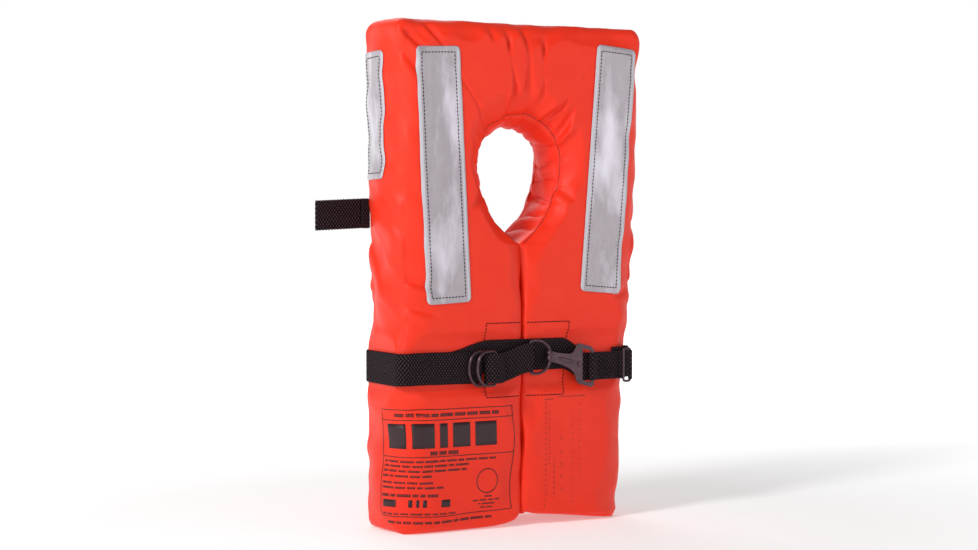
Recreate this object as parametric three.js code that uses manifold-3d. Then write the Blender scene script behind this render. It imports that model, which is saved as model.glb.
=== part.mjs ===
// A child's keyhole life jacket: a boxed slab of foam pads in a nylon cover, with a head hole, a front slit,
// reflective tapes, and a webbing belt closed by double D-rings and a snap hook.
// Millimetres, +Z up, front towards -Y. Left and right are as seen from the front, so left is -X.

import * as THREE from "three";
import { mergeVertices } from "three/addons/utils/BufferGeometryUtils.js";
import Module from "manifold-3d";

const wasm = await Module();
wasm.setup();

// ---------- driving dimensions ----------

const HEIGHT = 510;
const HALF_WIDTH = 122;
const LEFT_EDGE = { bottom: 137, top: 140 };
const RIGHT_EDGE = { bottom: 124, top: 148 };
const HALF_DEPTH = 42;
const EDGE_RADIUS = 8;
const FABRIC = 0.8;
const GAP = 0.3;
const FOLD_Z = 347;
const HALF_SLIT = 1;

const HOLE_HALF_WIDTH = 42;
const HOLE_CENTRE_Z = 370;
const HOLE_RISE = 46;
const HOLE_POINT_Z = 295;
const HOLE_SHOULDER_Z = 326;
const SLIT_GUSSET_TOP = HOLE_POINT_Z - 5;

const TAPE_HALF_WIDTH = 25;
const TAPE_THICKNESS = 0.5;
const LEFT_TAPE = { bottom: [-89, 229], top: [-102, 484.5] };
const RIGHT_TAPE = { bottom: [92, 237], top: [113, 492] };
const SIDE_TAPE = { low: 353, high: 481, y: 12 };

const WEBBING = 1.6;
const BELT_Z = 164;
const BELT_HALF_HEIGHT = 16;
const STRAP_HALF_HEIGHT = 15;
const BELT_CLEAR = { left: 139, right: 133.2 };
const BELT_BEND = 8.2;
const TAIL_Y = -HALF_DEPTH - GAP - WEBBING / 2;
const BELT_FRONT_Y = TAIL_Y - WEBBING - GAP;
const BELT_LEFT_END = -58;
const BELT_RIGHT_END = 108;
const TAIL = { left: -108, right: 70, rise: 8 };

const WIRE_RADIUS = 1.5;
const RING_HALF_HEIGHT = 17;
const D_RING_REACH = 21;
const D_RING_STRAIGHT = 9.3;
const D_RING_Z = 163;
const INNER_BAR = { x: -47, y: -48.5 };
const OUTER_BAR = { x: -39.5, y: -52.5 };
const HOOK_RING_BAR = { x: 4.5, y: -49 };
const HOOK_RING_REACH = 24.2;
const HOOK_RING_STRAIGHT = 7;
const HOOK_RING_Z = 172.5;
const STRAP_WALL = 1.3;
const STRAP_FLAT = { back: -47.3, front: -50.7 };
const STRAP_TAPER = { start: 4, end: 8 };
const KEEPER = { x: 64, halfWidth: 13, foot: 10 };

const HOOK_PLATE = 1.6;
const HOOK_BEND_RADIUS = 3;
const HOOK_NOSE = { x: 28.5, y: -49 };
const HOOK_TIP_X = 43;
const HOOK_HALF_WIDTH = 5.5;
const HOOK_EYE = { left: 57, right: 79, halfHeight: 21, bar: 4, slotHalf: 16.5 };
const HOOK_FRONT_Y = HOOK_NOSE.y - HOOK_BEND_RADIUS - HOOK_PLATE;
const HOOK_BACK_Y = HOOK_FRONT_Y + HOOK_PLATE;
const HOOK_SLOPE = -0.25;
const GATE = { rivetX: 61.2, thickness: 0.8, halfWidth: 3.6, endX: 41.6, stand: 1.3 };
const RIVET = { radius: 1.6, head: 2.6, headDepth: 0.8 };
const RIVET_SLACK = 0.5;

const LOOP_REACH = 13;
const SLIDE = { left: 118.8, right: 127, halfHeight: 17, wire: 1.3, y: -49.3 };
const HOOK_STRAP = { rampEnd: 88, right: 122, frontY: -46, backY: -44.2 };

const LOOP_TAB = { z: 319, halfHeight: 15, y: 36, halfThickness: 1.8, length: 50, stub: 6 };

// ---------- materials ----------

const material = (color, roughness, metalness = 0) =>
  new THREE.MeshStandardMaterial({ color, roughness, metalness });
const orangeNylon = material(0xf04b32, 0.55);
const reflectiveTape = material(0xb5abb0, 0.3, 0.2);
const blackWebbing = material(0x23151a, 0.85);
const darkMetal = material(0x5a4b50, 0.35, 0.9);
const whiteFoam = material(0xe9e4d8, 0.9);
const patchCloth = material(0x8c3a2c, 0.8);

// ---------- geometry helpers ----------

function toSolid(geometry) {
  const bare = geometry.clone();
  bare.deleteAttribute("normal");
  bare.deleteAttribute("uv");
  const merged = mergeVertices(bare, 1e-4);
  return new wasm.Manifold(
    new wasm.Mesh({
      numProp: 3,
      vertProperties: new Float32Array(merged.attributes.position.array),
      triVerts: new Uint32Array(merged.index.array),
    }),
  );
}

function toGeometry(solid) {
  const mesh = solid.getMesh();
  const geometry = new THREE.BufferGeometry();
  geometry.setAttribute("position", new THREE.BufferAttribute(new Float32Array(mesh.vertProperties), 3));
  geometry.setIndex(new THREE.BufferAttribute(new Uint32Array(mesh.triVerts), 1));
  geometry.computeVertexNormals();
  return geometry;
}

const cut = (geometry, ...tools) =>
  toGeometry(tools.reduce((solid, tool) => solid.subtract(toSolid(tool)), toSolid(geometry)));
const join = (geometry, ...others) =>
  toGeometry(others.reduce((solid, other) => solid.add(toSolid(other)), toSolid(geometry)));
const keep = (geometry, tool) => toGeometry(toSolid(geometry).intersect(toSolid(tool)));

function box(x0, x1, y0, y1, z0, z1) {
  const geometry = new THREE.BoxGeometry(x1 - x0, y1 - y0, z1 - z0);
  return geometry.translate((x0 + x1) / 2, (y0 + y1) / 2, (z0 + z1) / 2);
}

// A shape drawn as (x, z), given thickness from y0 to y1.
function alongY(shape, y0, y1, curveSegments = 6) {
  const geometry = new THREE.ExtrudeGeometry(shape, { depth: y1 - y0, bevelEnabled: false, curveSegments });
  return geometry.rotateX(Math.PI / 2).translate(0, y1, 0);
}

// A shape drawn as (x, y), given height from z0 to z1.
function alongZ(shape, z0, z1, curveSegments = 6) {
  const geometry = new THREE.ExtrudeGeometry(shape, { depth: z1 - z0, bevelEnabled: false, curveSegments });
  return geometry.translate(0, 0, z0);
}

// A shape drawn as (y, z), given width from x0 to x1.
function alongX(shape, x0, x1) {
  const geometry = new THREE.ExtrudeGeometry(shape, { depth: x1 - x0, bevelEnabled: false });
  return geometry.rotateX(Math.PI / 2).rotateZ(Math.PI / 2).translate(x0, 0, 0);
}

// How far the jacket's edge is from the slit at a height.
const edgeAt = (edge, z) => edge.bottom + ((edge.top - edge.bottom) * z) / HEIGHT;

// The slab is drawn with straight edges at HALF_WIDTH, and each side is then stretched out to its own edge.
function taper(geometry) {
  const position = geometry.attributes.position;
  for (let i = 0; i < position.count; i += 1) {
    const edge = position.getX(i) < 0 ? LEFT_EDGE : RIGHT_EDGE;
    position.setX(i, (position.getX(i) * edgeAt(edge, position.getZ(i))) / HALF_WIDTH);
  }
  return geometry;
}

// Slants a geometry so that it rises by slope for each unit of x past x0.
function slant(geometry, x0, slope) {
  const position = geometry.attributes.position;
  for (let i = 0; i < position.count; i += 1) {
    position.setZ(i, position.getZ(i) + slope * (position.getX(i) - x0));
  }
  return geometry;
}

// Lifts a geometry by rise between x0 and x1, and leaves both its ends level.
function ramp(geometry, x0, x1, rise) {
  const position = geometry.attributes.position;
  for (let i = 0; i < position.count; i += 1) {
    const share = THREE.MathUtils.clamp((position.getX(i) - x0) / (x1 - x0), 0, 1);
    position.setZ(i, position.getZ(i) + rise * share);
  }
  return geometry;
}

function mirrorX(geometry) {
  const mirrored = geometry.clone().scale(-1, 1, 1);
  if (!mirrored.index) {
    mirrored.setIndex([...Array(mirrored.attributes.position.count).keys()]);
  }
  const corners = mirrored.index.array;
  for (let i = 0; i < corners.length; i += 3) {
    [corners[i + 1], corners[i + 2]] = [corners[i + 2], corners[i + 1]];
  }
  mirrored.computeVertexNormals();
  return mirrored;
}

// A flat band of even thickness along a plan-view centreline.
function bandShape(points, thickness) {
  const sides = [[], []];
  points.forEach((point, i) => {
    const before = points[Math.max(i - 1, 0)];
    const after = points[Math.min(i + 1, points.length - 1)];
    const along = new THREE.Vector2().subVectors(after, before).normalize();
    const across = new THREE.Vector2(-along.y, along.x).multiplyScalar(thickness / 2);
    sides[0].push(point.clone().add(across));
    sides[1].unshift(point.clone().sub(across));
  });
  return new THREE.Shape([...sides[0], ...sides[1]]);
}

function arc(cx, cy, radius, from, to, steps = 5) {
  return Array.from({ length: steps + 1 }, (_, i) => {
    const angle = THREE.MathUtils.degToRad(from + ((to - from) * i) / steps);
    return new THREE.Vector2(cx + radius * Math.cos(angle), cy + radius * Math.sin(angle));
  });
}

// Round wire along a closed flat outline, drawn as (x, z) and lying at y = 0.
function wireRing(outline, radius, sides = 8) {
  const count = outline.length;
  const vertices = [];
  const corners = [];
  outline.forEach((point, i) => {
    const before = outline[(i + count - 1) % count];
    const after = outline[(i + 1) % count];
    const along = new THREE.Vector2().subVectors(after, before).normalize();
    for (let s = 0; s < sides; s += 1) {
      const angle = (s / sides) * 2 * Math.PI;
      const out = radius * Math.cos(angle);
      vertices.push(point.x + along.y * out, radius * Math.sin(angle), point.y - along.x * out);
      const next = ((i + 1) % count) * sides;
      const turn = (s + 1) % sides;
      corners.push(i * sides + s, i * sides + turn, next + s);
      corners.push(i * sides + turn, next + turn, next + s);
    }
  });
  const geometry = new THREE.BufferGeometry();
  geometry.setAttribute("position", new THREE.Float32BufferAttribute(vertices, 3));
  geometry.setIndex(corners);
  geometry.computeVertexNormals();
  return geometry;
}

// ---------- the assembly ----------

const jacket = new THREE.Group();

function addPiece(name, geometry, surface) {
  const mesh = new THREE.Mesh(geometry, surface);
  mesh.name = name;
  jacket.add(mesh);
}

// The head hole: round at the top and drawn to a point at the slit. Grown by an even amount.
function holeShape(grow) {
  const half = HOLE_HALF_WIDTH + grow;
  const shape = new THREE.Shape();
  shape.moveTo(half, HOLE_CENTRE_Z);
  shape.absellipse(0, HOLE_CENTRE_Z, half, HOLE_RISE + grow, 0, Math.PI, false);
  shape.quadraticCurveTo(-half, HOLE_SHOULDER_Z - grow, 0, HOLE_POINT_Z - grow);
  shape.quadraticCurveTo(half, HOLE_SHOULDER_Z - grow, half, HOLE_CENTRE_Z);
  return shape;
}
const HOLE_THICKNESS = 2 * HALF_DEPTH + 20;
const holeTool = (grow) => alongY(holeShape(grow), -HOLE_THICKNESS / 2, HOLE_THICKNESS / 2);

// Plan outline of the slab between the slit edge x1 and the outer edge at -halfWidth, inset all round.
function planShape(halfWidth, slitX, inset) {
  const left = -halfWidth + inset;
  const depth = HALF_DEPTH - inset;
  const radius = EDGE_RADIUS - inset;
  const corner = (cy, from, to) => arc(left + radius, cy, radius, from, to);
  return new THREE.Shape([
    ...corner(-depth + radius, 270, 180),
    ...corner(depth - radius, 180, 90),
    new THREE.Vector2(slitX, depth),
    new THREE.Vector2(slitX, -depth),
  ]);
}

// Side gusset: a C in plan, from the front seam round the outer edge to the back seam.
function sideGusset(z0, z1) {
  const left = -HALF_WIDTH;
  const centre = FABRIC / 2;
  const radius = EDGE_RADIUS - centre;
  const line = [
    ...arc(left + EDGE_RADIUS, -HALF_DEPTH + EDGE_RADIUS, radius, 270, 180),
    ...arc(left + EDGE_RADIUS, HALF_DEPTH - EDGE_RADIUS, radius, 180, 90),
  ];
  return alongZ(bandShape(line, FABRIC), z0, z1);
}

const SEAM_X = -HALF_WIDTH + EDGE_RADIUS + GAP;
const LOW = FABRIC + GAP;
const LOWER_TOP = FOLD_Z - GAP;
const COLLAR_LOW = FOLD_Z + GAP;
const COLLAR_TOP = HEIGHT - FABRIC - GAP;
const PATCH = { halfWidth: 50, low: 133, high: 208, thickness: 0.8 };
const PAD_INSET = FABRIC + GAP;
const FRONT_PAD_Y = -HALF_DEPTH + FABRIC + GAP + PATCH.thickness + GAP;
const BACK_PAD_Y = HALF_DEPTH - PAD_INSET;
const PAD_THIRD = HALF_DEPTH / 3;
const PAD_LAYERS = [
  ["front", FRONT_PAD_Y, -PAD_THIRD - GAP / 2],
  ["middle", -PAD_THIRD + GAP / 2, PAD_THIRD - GAP / 2],
  ["back", PAD_THIRD + GAP / 2, BACK_PAD_Y],
];
const RIM = FABRIC + GAP;

// Slab-wide slices used to share one hole between the two lower halves and the collar.
const WIDE = 2 * HALF_WIDTH;
const lowerSlice = () => box(-WIDE, -HALF_SLIT, -WIDE, WIDE, 0, LOWER_TOP);
const collarSlice = () => box(-WIDE, WIDE, -WIDE, WIDE, COLLAR_LOW, HEIGHT);
const neckBand = () => cut(
  alongY(holeShape(FABRIC), -HALF_DEPTH, HALF_DEPTH),
  holeTool(0),
);

function lowerHalf(side, place) {
  const cover = (y0, y1) => cut(box(SEAM_X, -HALF_SLIT, y0, y1, LOW, LOWER_TOP), holeTool(RIM));
  const add = (name, geometry, surface) => addPiece(`${side}_${name}`, taper(place(geometry)), surface);
  add("front_cover", cover(-HALF_DEPTH, -HALF_DEPTH + FABRIC), orangeNylon);
  add("back_cover", cover(HALF_DEPTH - FABRIC, HALF_DEPTH), orangeNylon);
  add("side_gusset", sideGusset(LOW, LOWER_TOP), orangeNylon);
  add("bottom_gusset", alongZ(planShape(HALF_WIDTH, -HALF_SLIT, 0), 0, FABRIC), orangeNylon);
  const inner = HALF_DEPTH - PAD_INSET;
  const slitWall = box(-HALF_SLIT - FABRIC, -HALF_SLIT, -inner, inner, LOW, SLIT_GUSSET_TOP);
  add("slit_gusset", slitWall, orangeNylon);
  add("neck_gusset", keep(neckBand(), lowerSlice()), orangeNylon);
  const padSlit = -HALF_SLIT - FABRIC - GAP;
  const whole = alongZ(planShape(HALF_WIDTH, padSlit, PAD_INSET), LOW, LOWER_TOP);
  const pad = cut(whole, holeTool(RIM));
  for (const [layer, y0, y1] of PAD_LAYERS) {
    add(`foam_${layer}`, keep(pad, box(-WIDE, WIDE, y0, y1, 0, HEIGHT)), whiteFoam);
  }
  const patchY = -HALF_DEPTH + FABRIC + GAP;
  const patch = box(-PATCH.halfWidth, padSlit, patchY, patchY + PATCH.thickness, PATCH.low, PATCH.high);
  add("reinforcement_patch", patch, patchCloth);
}

function collar() {
  const add = (name, geometry, surface) => addPiece(`collar_${name}`, taper(geometry), surface);
  const cover = (y0, y1) => cut(box(SEAM_X, -SEAM_X, y0, y1, COLLAR_LOW, COLLAR_TOP), holeTool(RIM));
  add("front_cover", cover(-HALF_DEPTH, -HALF_DEPTH + FABRIC), orangeNylon);
  add("back_cover", cover(HALF_DEPTH - FABRIC, HALF_DEPTH), orangeNylon);
  const side = sideGusset(COLLAR_LOW, COLLAR_TOP);
  add("left_gusset", side.clone(), orangeNylon);
  add("right_gusset", mirrorX(side), orangeNylon);
  const half = alongZ(planShape(HALF_WIDTH, 0, 0), HEIGHT - FABRIC, HEIGHT);
  add("top_gusset", join(half, mirrorX(half)), orangeNylon);
  add("neck_gusset", keep(neckBand(), collarSlice()), orangeNylon);
  const halfPad = alongZ(planShape(HALF_WIDTH, 0, PAD_INSET), COLLAR_LOW, COLLAR_TOP);
  const pad = cut(join(halfPad, mirrorX(halfPad)), holeTool(RIM));
  for (const [layer, y0, y1] of PAD_LAYERS) {
    add(`foam_${layer}`, keep(pad, box(-WIDE, WIDE, y0, y1, 0, HEIGHT)), whiteFoam);
  }
}

// Front and back tapes cross the fold, so each is an upper and a lower length.
function tapeLength(line, z0, z1, y0) {
  const [[xLow, zLow], [xHigh, zHigh]] = [line.bottom, line.top];
  const xAt = (z) => xLow + ((xHigh - xLow) * (z - zLow)) / (zHigh - zLow);
  const shape = new THREE.Shape([
    new THREE.Vector2(xAt(z0) - TAPE_HALF_WIDTH, z0),
    new THREE.Vector2(xAt(z0) + TAPE_HALF_WIDTH, z0),
    new THREE.Vector2(xAt(z1) + TAPE_HALF_WIDTH, z1),
    new THREE.Vector2(xAt(z1) - TAPE_HALF_WIDTH, z1),
  ]);
  return alongY(shape, y0, y0 + TAPE_THICKNESS);
}

function tapes() {
  const faces = [["front", -HALF_DEPTH - GAP - TAPE_THICKNESS], ["back", HALF_DEPTH + GAP]];
  for (const [face, y0] of faces) {
    for (const [side, line] of [["left", LEFT_TAPE], ["right", RIGHT_TAPE]]) {
      const name = `${face}_${side}_tape`;
      addPiece(`${name}_lower`, tapeLength(line, line.bottom[1], LOWER_TOP, y0), reflectiveTape);
      addPiece(`${name}_upper`, tapeLength(line, COLLAR_LOW, line.top[1], y0), reflectiveTape);
    }
  }
  const outer = HALF_WIDTH + GAP;
  const [y0, y1] = [SIDE_TAPE.y - TAPE_HALF_WIDTH, SIDE_TAPE.y + TAPE_HALF_WIDTH];
  const sideTape = box(-outer - TAPE_THICKNESS, -outer, y0, y1, SIDE_TAPE.low, SIDE_TAPE.high);
  addPiece("left_side_tape", taper(sideTape.clone()), reflectiveTape);
  addPiece("right_side_tape", taper(mirrorX(sideTape)), reflectiveTape);
}

function belt() {
  const radius = BELT_BEND + WEBBING / 2;
  const leftX = BELT_BEND - BELT_CLEAR.left;
  const rightX = BELT_CLEAR.right - BELT_BEND;
  const backY = HALF_DEPTH + GAP + WEBBING / 2;
  const line = [
    new THREE.Vector2(BELT_LEFT_END, BELT_FRONT_Y),
    ...arc(leftX, BELT_FRONT_Y + radius, radius, 270, 180),
    ...arc(leftX, backY - radius, radius, 180, 90),
    ...arc(rightX, backY - radius, radius, 90, 0),
    ...arc(rightX, TAIL_Y + radius, radius, 0, -90),
    new THREE.Vector2(BELT_RIGHT_END, TAIL_Y),
  ];
  const low = BELT_Z - BELT_HALF_HEIGHT;
  const high = BELT_Z + BELT_HALF_HEIGHT;
  addPiece("main_belt", alongZ(bandShape(line, WEBBING), low, high), blackWebbing);

  const tailShape = bandShape([new THREE.Vector2(TAIL.left, TAIL_Y), new THREE.Vector2(TAIL.right, TAIL_Y)], WEBBING);
  addPiece("belt_tail", alongZ(tailShape, low + TAIL.rise, high + TAIL.rise), blackWebbing);

  // Each keeper is a strip sewn above and below the belt on the back panel.
  const skin = HALF_DEPTH + GAP;
  const keeper = new THREE.Shape();
  const over = skin + WEBBING + GAP;
  const { foot, halfWidth } = KEEPER;
  const points = [
    [skin, low - foot], [skin, low - GAP], [over, low - GAP], [over, high + GAP], [skin, high + GAP],
    [skin, high + foot], [skin + WEBBING, high + foot], [skin + WEBBING, high + GAP + WEBBING],
    [over + WEBBING, high + GAP + WEBBING], [over + WEBBING, low - GAP - WEBBING],
    [skin + WEBBING, low - GAP - WEBBING], [skin + WEBBING, low - foot],
  ];
  keeper.setFromPoints(points.map(([y, z]) => new THREE.Vector2(y, z)));
  for (const [name, x] of [["left_belt_keeper", -KEEPER.x], ["right_belt_keeper", KEEPER.x]]) {
    addPiece(name, alongX(keeper, x - halfWidth, x + halfWidth), blackWebbing);
  }
}

// A ring with a straight bar at x = 0 and a round end at x = -reach.
function dRing(reach, straight) {
  const bend = 3;
  const top = RING_HALF_HEIGHT;
  const path = new THREE.Path();
  path.moveTo(0, bend - top);
  path.lineTo(0, top - bend);
  path.absarc(-bend, top - bend, bend, 0, Math.PI / 2, false);
  path.lineTo(-straight, top);
  path.absellipse(-straight, 0, reach - straight, top, Math.PI / 2, 1.5 * Math.PI, false);
  path.lineTo(-bend, -top);
  path.absarc(-bend, bend - top, bend, -Math.PI / 2, 0, false);
  const points = path.getPoints(5).filter((point, i, all) => i === 0 || point.distanceTo(all[i - 1]) > 1e-6);
  if (points[0].distanceTo(points[points.length - 1]) < 1e-6) {
    points.pop();
  }
  return wireRing(points, WIRE_RADIUS);
}

function rings() {
  const double = dRing(D_RING_REACH, D_RING_STRAIGHT);
  addPiece("d_ring_inner", double.clone().translate(INNER_BAR.x, INNER_BAR.y, D_RING_Z), darkMetal);
  addPiece("d_ring_outer", double.clone().translate(OUTER_BAR.x, OUTER_BAR.y, D_RING_Z), darkMetal);
  const single = mirrorX(dRing(HOOK_RING_REACH, HOOK_RING_STRAIGHT));
  addPiece("hook_ring", single.translate(HOOK_RING_BAR.x, HOOK_RING_BAR.y, HOOK_RING_Z), darkMetal);
}

// Two layers of webbing sewn flat, with a loop at each end: one round both D-ring bars, one round the hook ring.
function ringStrap() {
  const clear = WIRE_RADIUS + GAP;
  const loop = {
    left: INNER_BAR.x - clear,
    right: OUTER_BAR.x + clear,
    back: INNER_BAR.y + clear,
    front: OUTER_BAR.y - clear,
  };
  const flatLeft = loop.right + STRAP_TAPER.end;
  const flatRight = HOOK_RING_BAR.x - STRAP_TAPER.start;
  const shape = new THREE.Shape([
    new THREE.Vector2(loop.left - STRAP_WALL, loop.back),
    new THREE.Vector2(loop.left, loop.back + STRAP_WALL),
    new THREE.Vector2(loop.right + STRAP_TAPER.start, loop.back + STRAP_WALL),
    new THREE.Vector2(flatLeft, STRAP_FLAT.back),
    new THREE.Vector2(flatRight, STRAP_FLAT.back),
    ...arc(HOOK_RING_BAR.x, HOOK_RING_BAR.y, clear + STRAP_WALL, 110, -110, 10),
    new THREE.Vector2(flatRight, STRAP_FLAT.front),
    new THREE.Vector2(flatLeft, STRAP_FLAT.front),
    new THREE.Vector2(loop.right + STRAP_TAPER.start, loop.front - STRAP_WALL),
    new THREE.Vector2(loop.left, loop.front - STRAP_WALL),
    new THREE.Vector2(loop.left - STRAP_WALL, loop.front),
  ]);
  const low = D_RING_Z - STRAP_HALF_HEIGHT;
  const high = D_RING_Z + STRAP_HALF_HEIGHT;
  const geometry = cut(
    alongZ(shape, low, high),
    box(loop.left, loop.right, loop.front, loop.back, low - 1, high + 1),
    alongZ(new THREE.Shape(arc(HOOK_RING_BAR.x, HOOK_RING_BAR.y, clear, 0, 330, 11)), low - 1, high + 1),
  );
  const rise = HOOK_RING_Z - D_RING_Z;
  addPiece("ring_strap", ramp(geometry, flatLeft, flatRight, rise), blackWebbing);
}

function snapHook() {
  const { x, y } = HOOK_NOSE;
  const middle = HOOK_BEND_RADIUS + HOOK_PLATE / 2;
  const nose = bandShape([
    new THREE.Vector2(HOOK_EYE.left - 4, y - middle),
    ...arc(x, y, middle, 270, 90, 10),
    new THREE.Vector2(HOOK_TIP_X, y + middle),
  ], HOOK_PLATE);
  const curl = alongZ(nose, -HOOK_HALF_WIDTH, HOOK_HALF_WIDTH);

  const eye = HOOK_EYE;
  const plate = new THREE.Shape();
  plate.moveTo(x + 6, -HOOK_HALF_WIDTH);
  plate.lineTo(eye.left - 14, -HOOK_HALF_WIDTH - 1);
  plate.quadraticCurveTo(eye.left - 1, -HOOK_HALF_WIDTH - 2, eye.left, -eye.halfHeight + 3);
  plate.lineTo(eye.left + 3, -eye.halfHeight);
  plate.lineTo(eye.right - 3, -eye.halfHeight);
  plate.lineTo(eye.right, -eye.halfHeight + 3);
  plate.lineTo(eye.right, eye.halfHeight - 3);
  plate.lineTo(eye.right - 3, eye.halfHeight);
  plate.lineTo(eye.left + 3, eye.halfHeight);
  plate.lineTo(eye.left, eye.halfHeight - 3);
  plate.quadraticCurveTo(eye.left - 1, HOOK_HALF_WIDTH + 2, eye.left - 14, HOOK_HALF_WIDTH + 1);
  plate.lineTo(x + 6, HOOK_HALF_WIDTH);
  const slotLeft = eye.left + 8;
  const slotRight = eye.right - eye.bar;
  const slot = box(slotLeft, slotRight, HOOK_FRONT_Y - 1, HOOK_BACK_Y + 1, -eye.slotHalf, eye.slotHalf);
  const blade = alongY(plate, HOOK_FRONT_Y, HOOK_BACK_Y);
  const pin = (radius, y0, y1) =>
    new THREE.CylinderGeometry(radius, radius, y1 - y0, 12).translate(GATE.rivetX, (y0 + y1) / 2, 0);
  const rivetHole = pin(RIVET.radius + GAP, HOOK_FRONT_Y - 1, HOOK_BACK_Y + 1);
  const place = (geometry) => slant(geometry, x, HOOK_SLOPE).translate(0, 0, HOOK_RING_Z);
  addPiece("snap_hook_body", place(cut(join(blade, curl), slot, rivetHole)), darkMetal);

  // The gate: a leaf from the rivet to just inside the hook's tip, with a flat ear on the rivet.
  const pivotY = HOOK_BACK_Y + GATE.stand;
  const tipY = y + HOOK_BEND_RADIUS - GAP - GATE.thickness / 2;
  const leaf = bandShape([
    new THREE.Vector2(GATE.rivetX - 3, pivotY + GAP),
    new THREE.Vector2(GATE.endX, tipY),
  ], GATE.thickness);
  const arm = alongZ(leaf, -GATE.halfWidth, GATE.halfWidth);
  const [earLeft, earRight] = [GATE.rivetX - 3.5, GATE.rivetX + 3.5];
  const ear = box(earLeft, earRight, pivotY - GAP, pivotY + GAP * 2, -GATE.halfWidth, GATE.halfWidth);
  const earHole = pin(RIVET.radius + RIVET_SLACK, pivotY - 3, pivotY + 3);
  addPiece("snap_hook_gate", place(cut(join(arm, ear), earHole)), darkMetal);

  const headY = HOOK_FRONT_Y - GAP;
  const shank = pin(RIVET.radius, headY - RIVET.headDepth / 2, pivotY + 1.2);
  const head = pin(RIVET.head, headY - RIVET.headDepth, headY);
  addPiece("gate_rivet", place(join(shank, head)), darkMetal);
}

// The belt's right end: a loop round the hook's eye bar, sewn flat as far as the slide.
function hookStrap() {
  const eyeMid = HOOK_FRONT_Y + HOOK_PLATE / 2;
  const holeLeft = HOOK_EYE.right - HOOK_EYE.bar - 0.6;
  const holeRight = HOOK_EYE.right + 0.6;
  const clear = HOOK_PLATE / 2 + 0.5;
  const shape = new THREE.Shape([
    new THREE.Vector2(holeLeft - STRAP_WALL, eyeMid - clear),
    new THREE.Vector2(holeLeft, eyeMid - clear - STRAP_WALL),
    new THREE.Vector2(holeRight, eyeMid - clear - STRAP_WALL),
    new THREE.Vector2(HOOK_STRAP.rampEnd, HOOK_STRAP.frontY),
    new THREE.Vector2(HOOK_STRAP.right, HOOK_STRAP.frontY),
    new THREE.Vector2(HOOK_STRAP.right, HOOK_STRAP.backY),
    new THREE.Vector2(HOOK_STRAP.rampEnd - 2, HOOK_STRAP.backY),
    new THREE.Vector2(holeLeft, eyeMid + clear + STRAP_WALL),
    new THREE.Vector2(holeLeft - STRAP_WALL, eyeMid + clear),
  ]);
  const middle = HOOK_RING_Z + HOOK_SLOPE * (HOOK_EYE.right - HOOK_EYE.bar - HOOK_NOSE.x);
  const low = middle - STRAP_HALF_HEIGHT;
  const high = middle + STRAP_HALF_HEIGHT;
  const hole = box(holeLeft, holeRight, eyeMid - clear, eyeMid + clear, low - 1, high + 1);
  const geometry = cut(alongZ(shape, low, high), hole);
  addPiece("hook_strap", geometry, blackWebbing);
  return middle;
}

function slide(middle) {
  const bend = 2.5;
  const { left, right, halfHeight, wire, y } = SLIDE;
  const path = new THREE.Path();
  path.moveTo(right, bend - halfHeight);
  path.lineTo(right, halfHeight - bend);
  path.absarc(right - bend, halfHeight - bend, bend, 0, Math.PI / 2, false);
  path.absarc(left + bend, halfHeight - bend, bend, Math.PI / 2, Math.PI, false);
  path.absarc(left + bend, bend - halfHeight, bend, Math.PI, 1.5 * Math.PI, false);
  path.absarc(right - bend, bend - halfHeight, bend, 1.5 * Math.PI, 2 * Math.PI, false);
  const points = path.getPoints(4).filter((point, i, all) => i === 0 || point.distanceTo(all[i - 1]) > 1e-6);
  points.pop();
  addPiece("belt_slide", wireRing(points, wire).translate(0, y, middle), darkMetal);

  // A short loop of webbing round the slide's outer bar.
  const clear = wire + GAP;
  const tube = (radius, reach) =>
    alongZ(new THREE.Shape(arc(right, y, radius, 0, 337.5, 15)), middle - reach, middle + reach);
  addPiece("slide_loop", cut(tube(clear + STRAP_WALL, LOOP_REACH), tube(clear, LOOP_REACH + 1)), blackWebbing);
}

// The light tab: doubled webbing from the left back edge, with a short sewn stub that it bends at.
function lightTab() {
  const { z, halfHeight, y, halfThickness, length, stub } = LOOP_TAB;
  const wall = -edgeAt(LEFT_EDGE, z + halfHeight) - GAP;
  const stubEnd = wall - stub;
  const pivot = stubEnd - halfThickness - GAP;
  const base = box(stubEnd, wall, y - halfThickness - 0.4, y + halfThickness + 0.4, z - halfHeight, z + halfHeight);
  addPiece("light_tab_stub", base, blackWebbing);
  const leaf = new THREE.Shape([
    ...arc(pivot, y, halfThickness, -90, 90, 6),
    ...arc(pivot - length + halfThickness, y, halfThickness, 90, 270, 6),
  ]);
  addPiece("light_tab", alongZ(leaf, z - halfHeight, z + halfHeight), blackWebbing);
  return pivot;
}

lowerHalf("left", (geometry) => geometry);
lowerHalf("right", (geometry) => mirrorX(geometry));
collar();
tapes();
belt();
rings();
ringStrap();
snapHook();
slide(hookStrap());
lightTab();

// The origin is at the middle of the footprint, on the floor.
const bounds = new THREE.Box3().setFromObject(jacket);
const centre = bounds.getCenter(new THREE.Vector3());
jacket.position.set(-centre.x, -centre.y, -bounds.min.z);

export default jacket;
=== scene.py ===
"""A child's keyhole life jacket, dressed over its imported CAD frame.

Soft shapes are worked out in millimetres in the jacket's own axes: x from the slit, y from mid-depth (the
front is negative), z from the floor. placed() puts them in the frame.
"""
import math

import bmesh
import bpy
import numpy as np
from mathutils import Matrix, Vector
from mathutils.bvhtree import BVHTree


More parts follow.
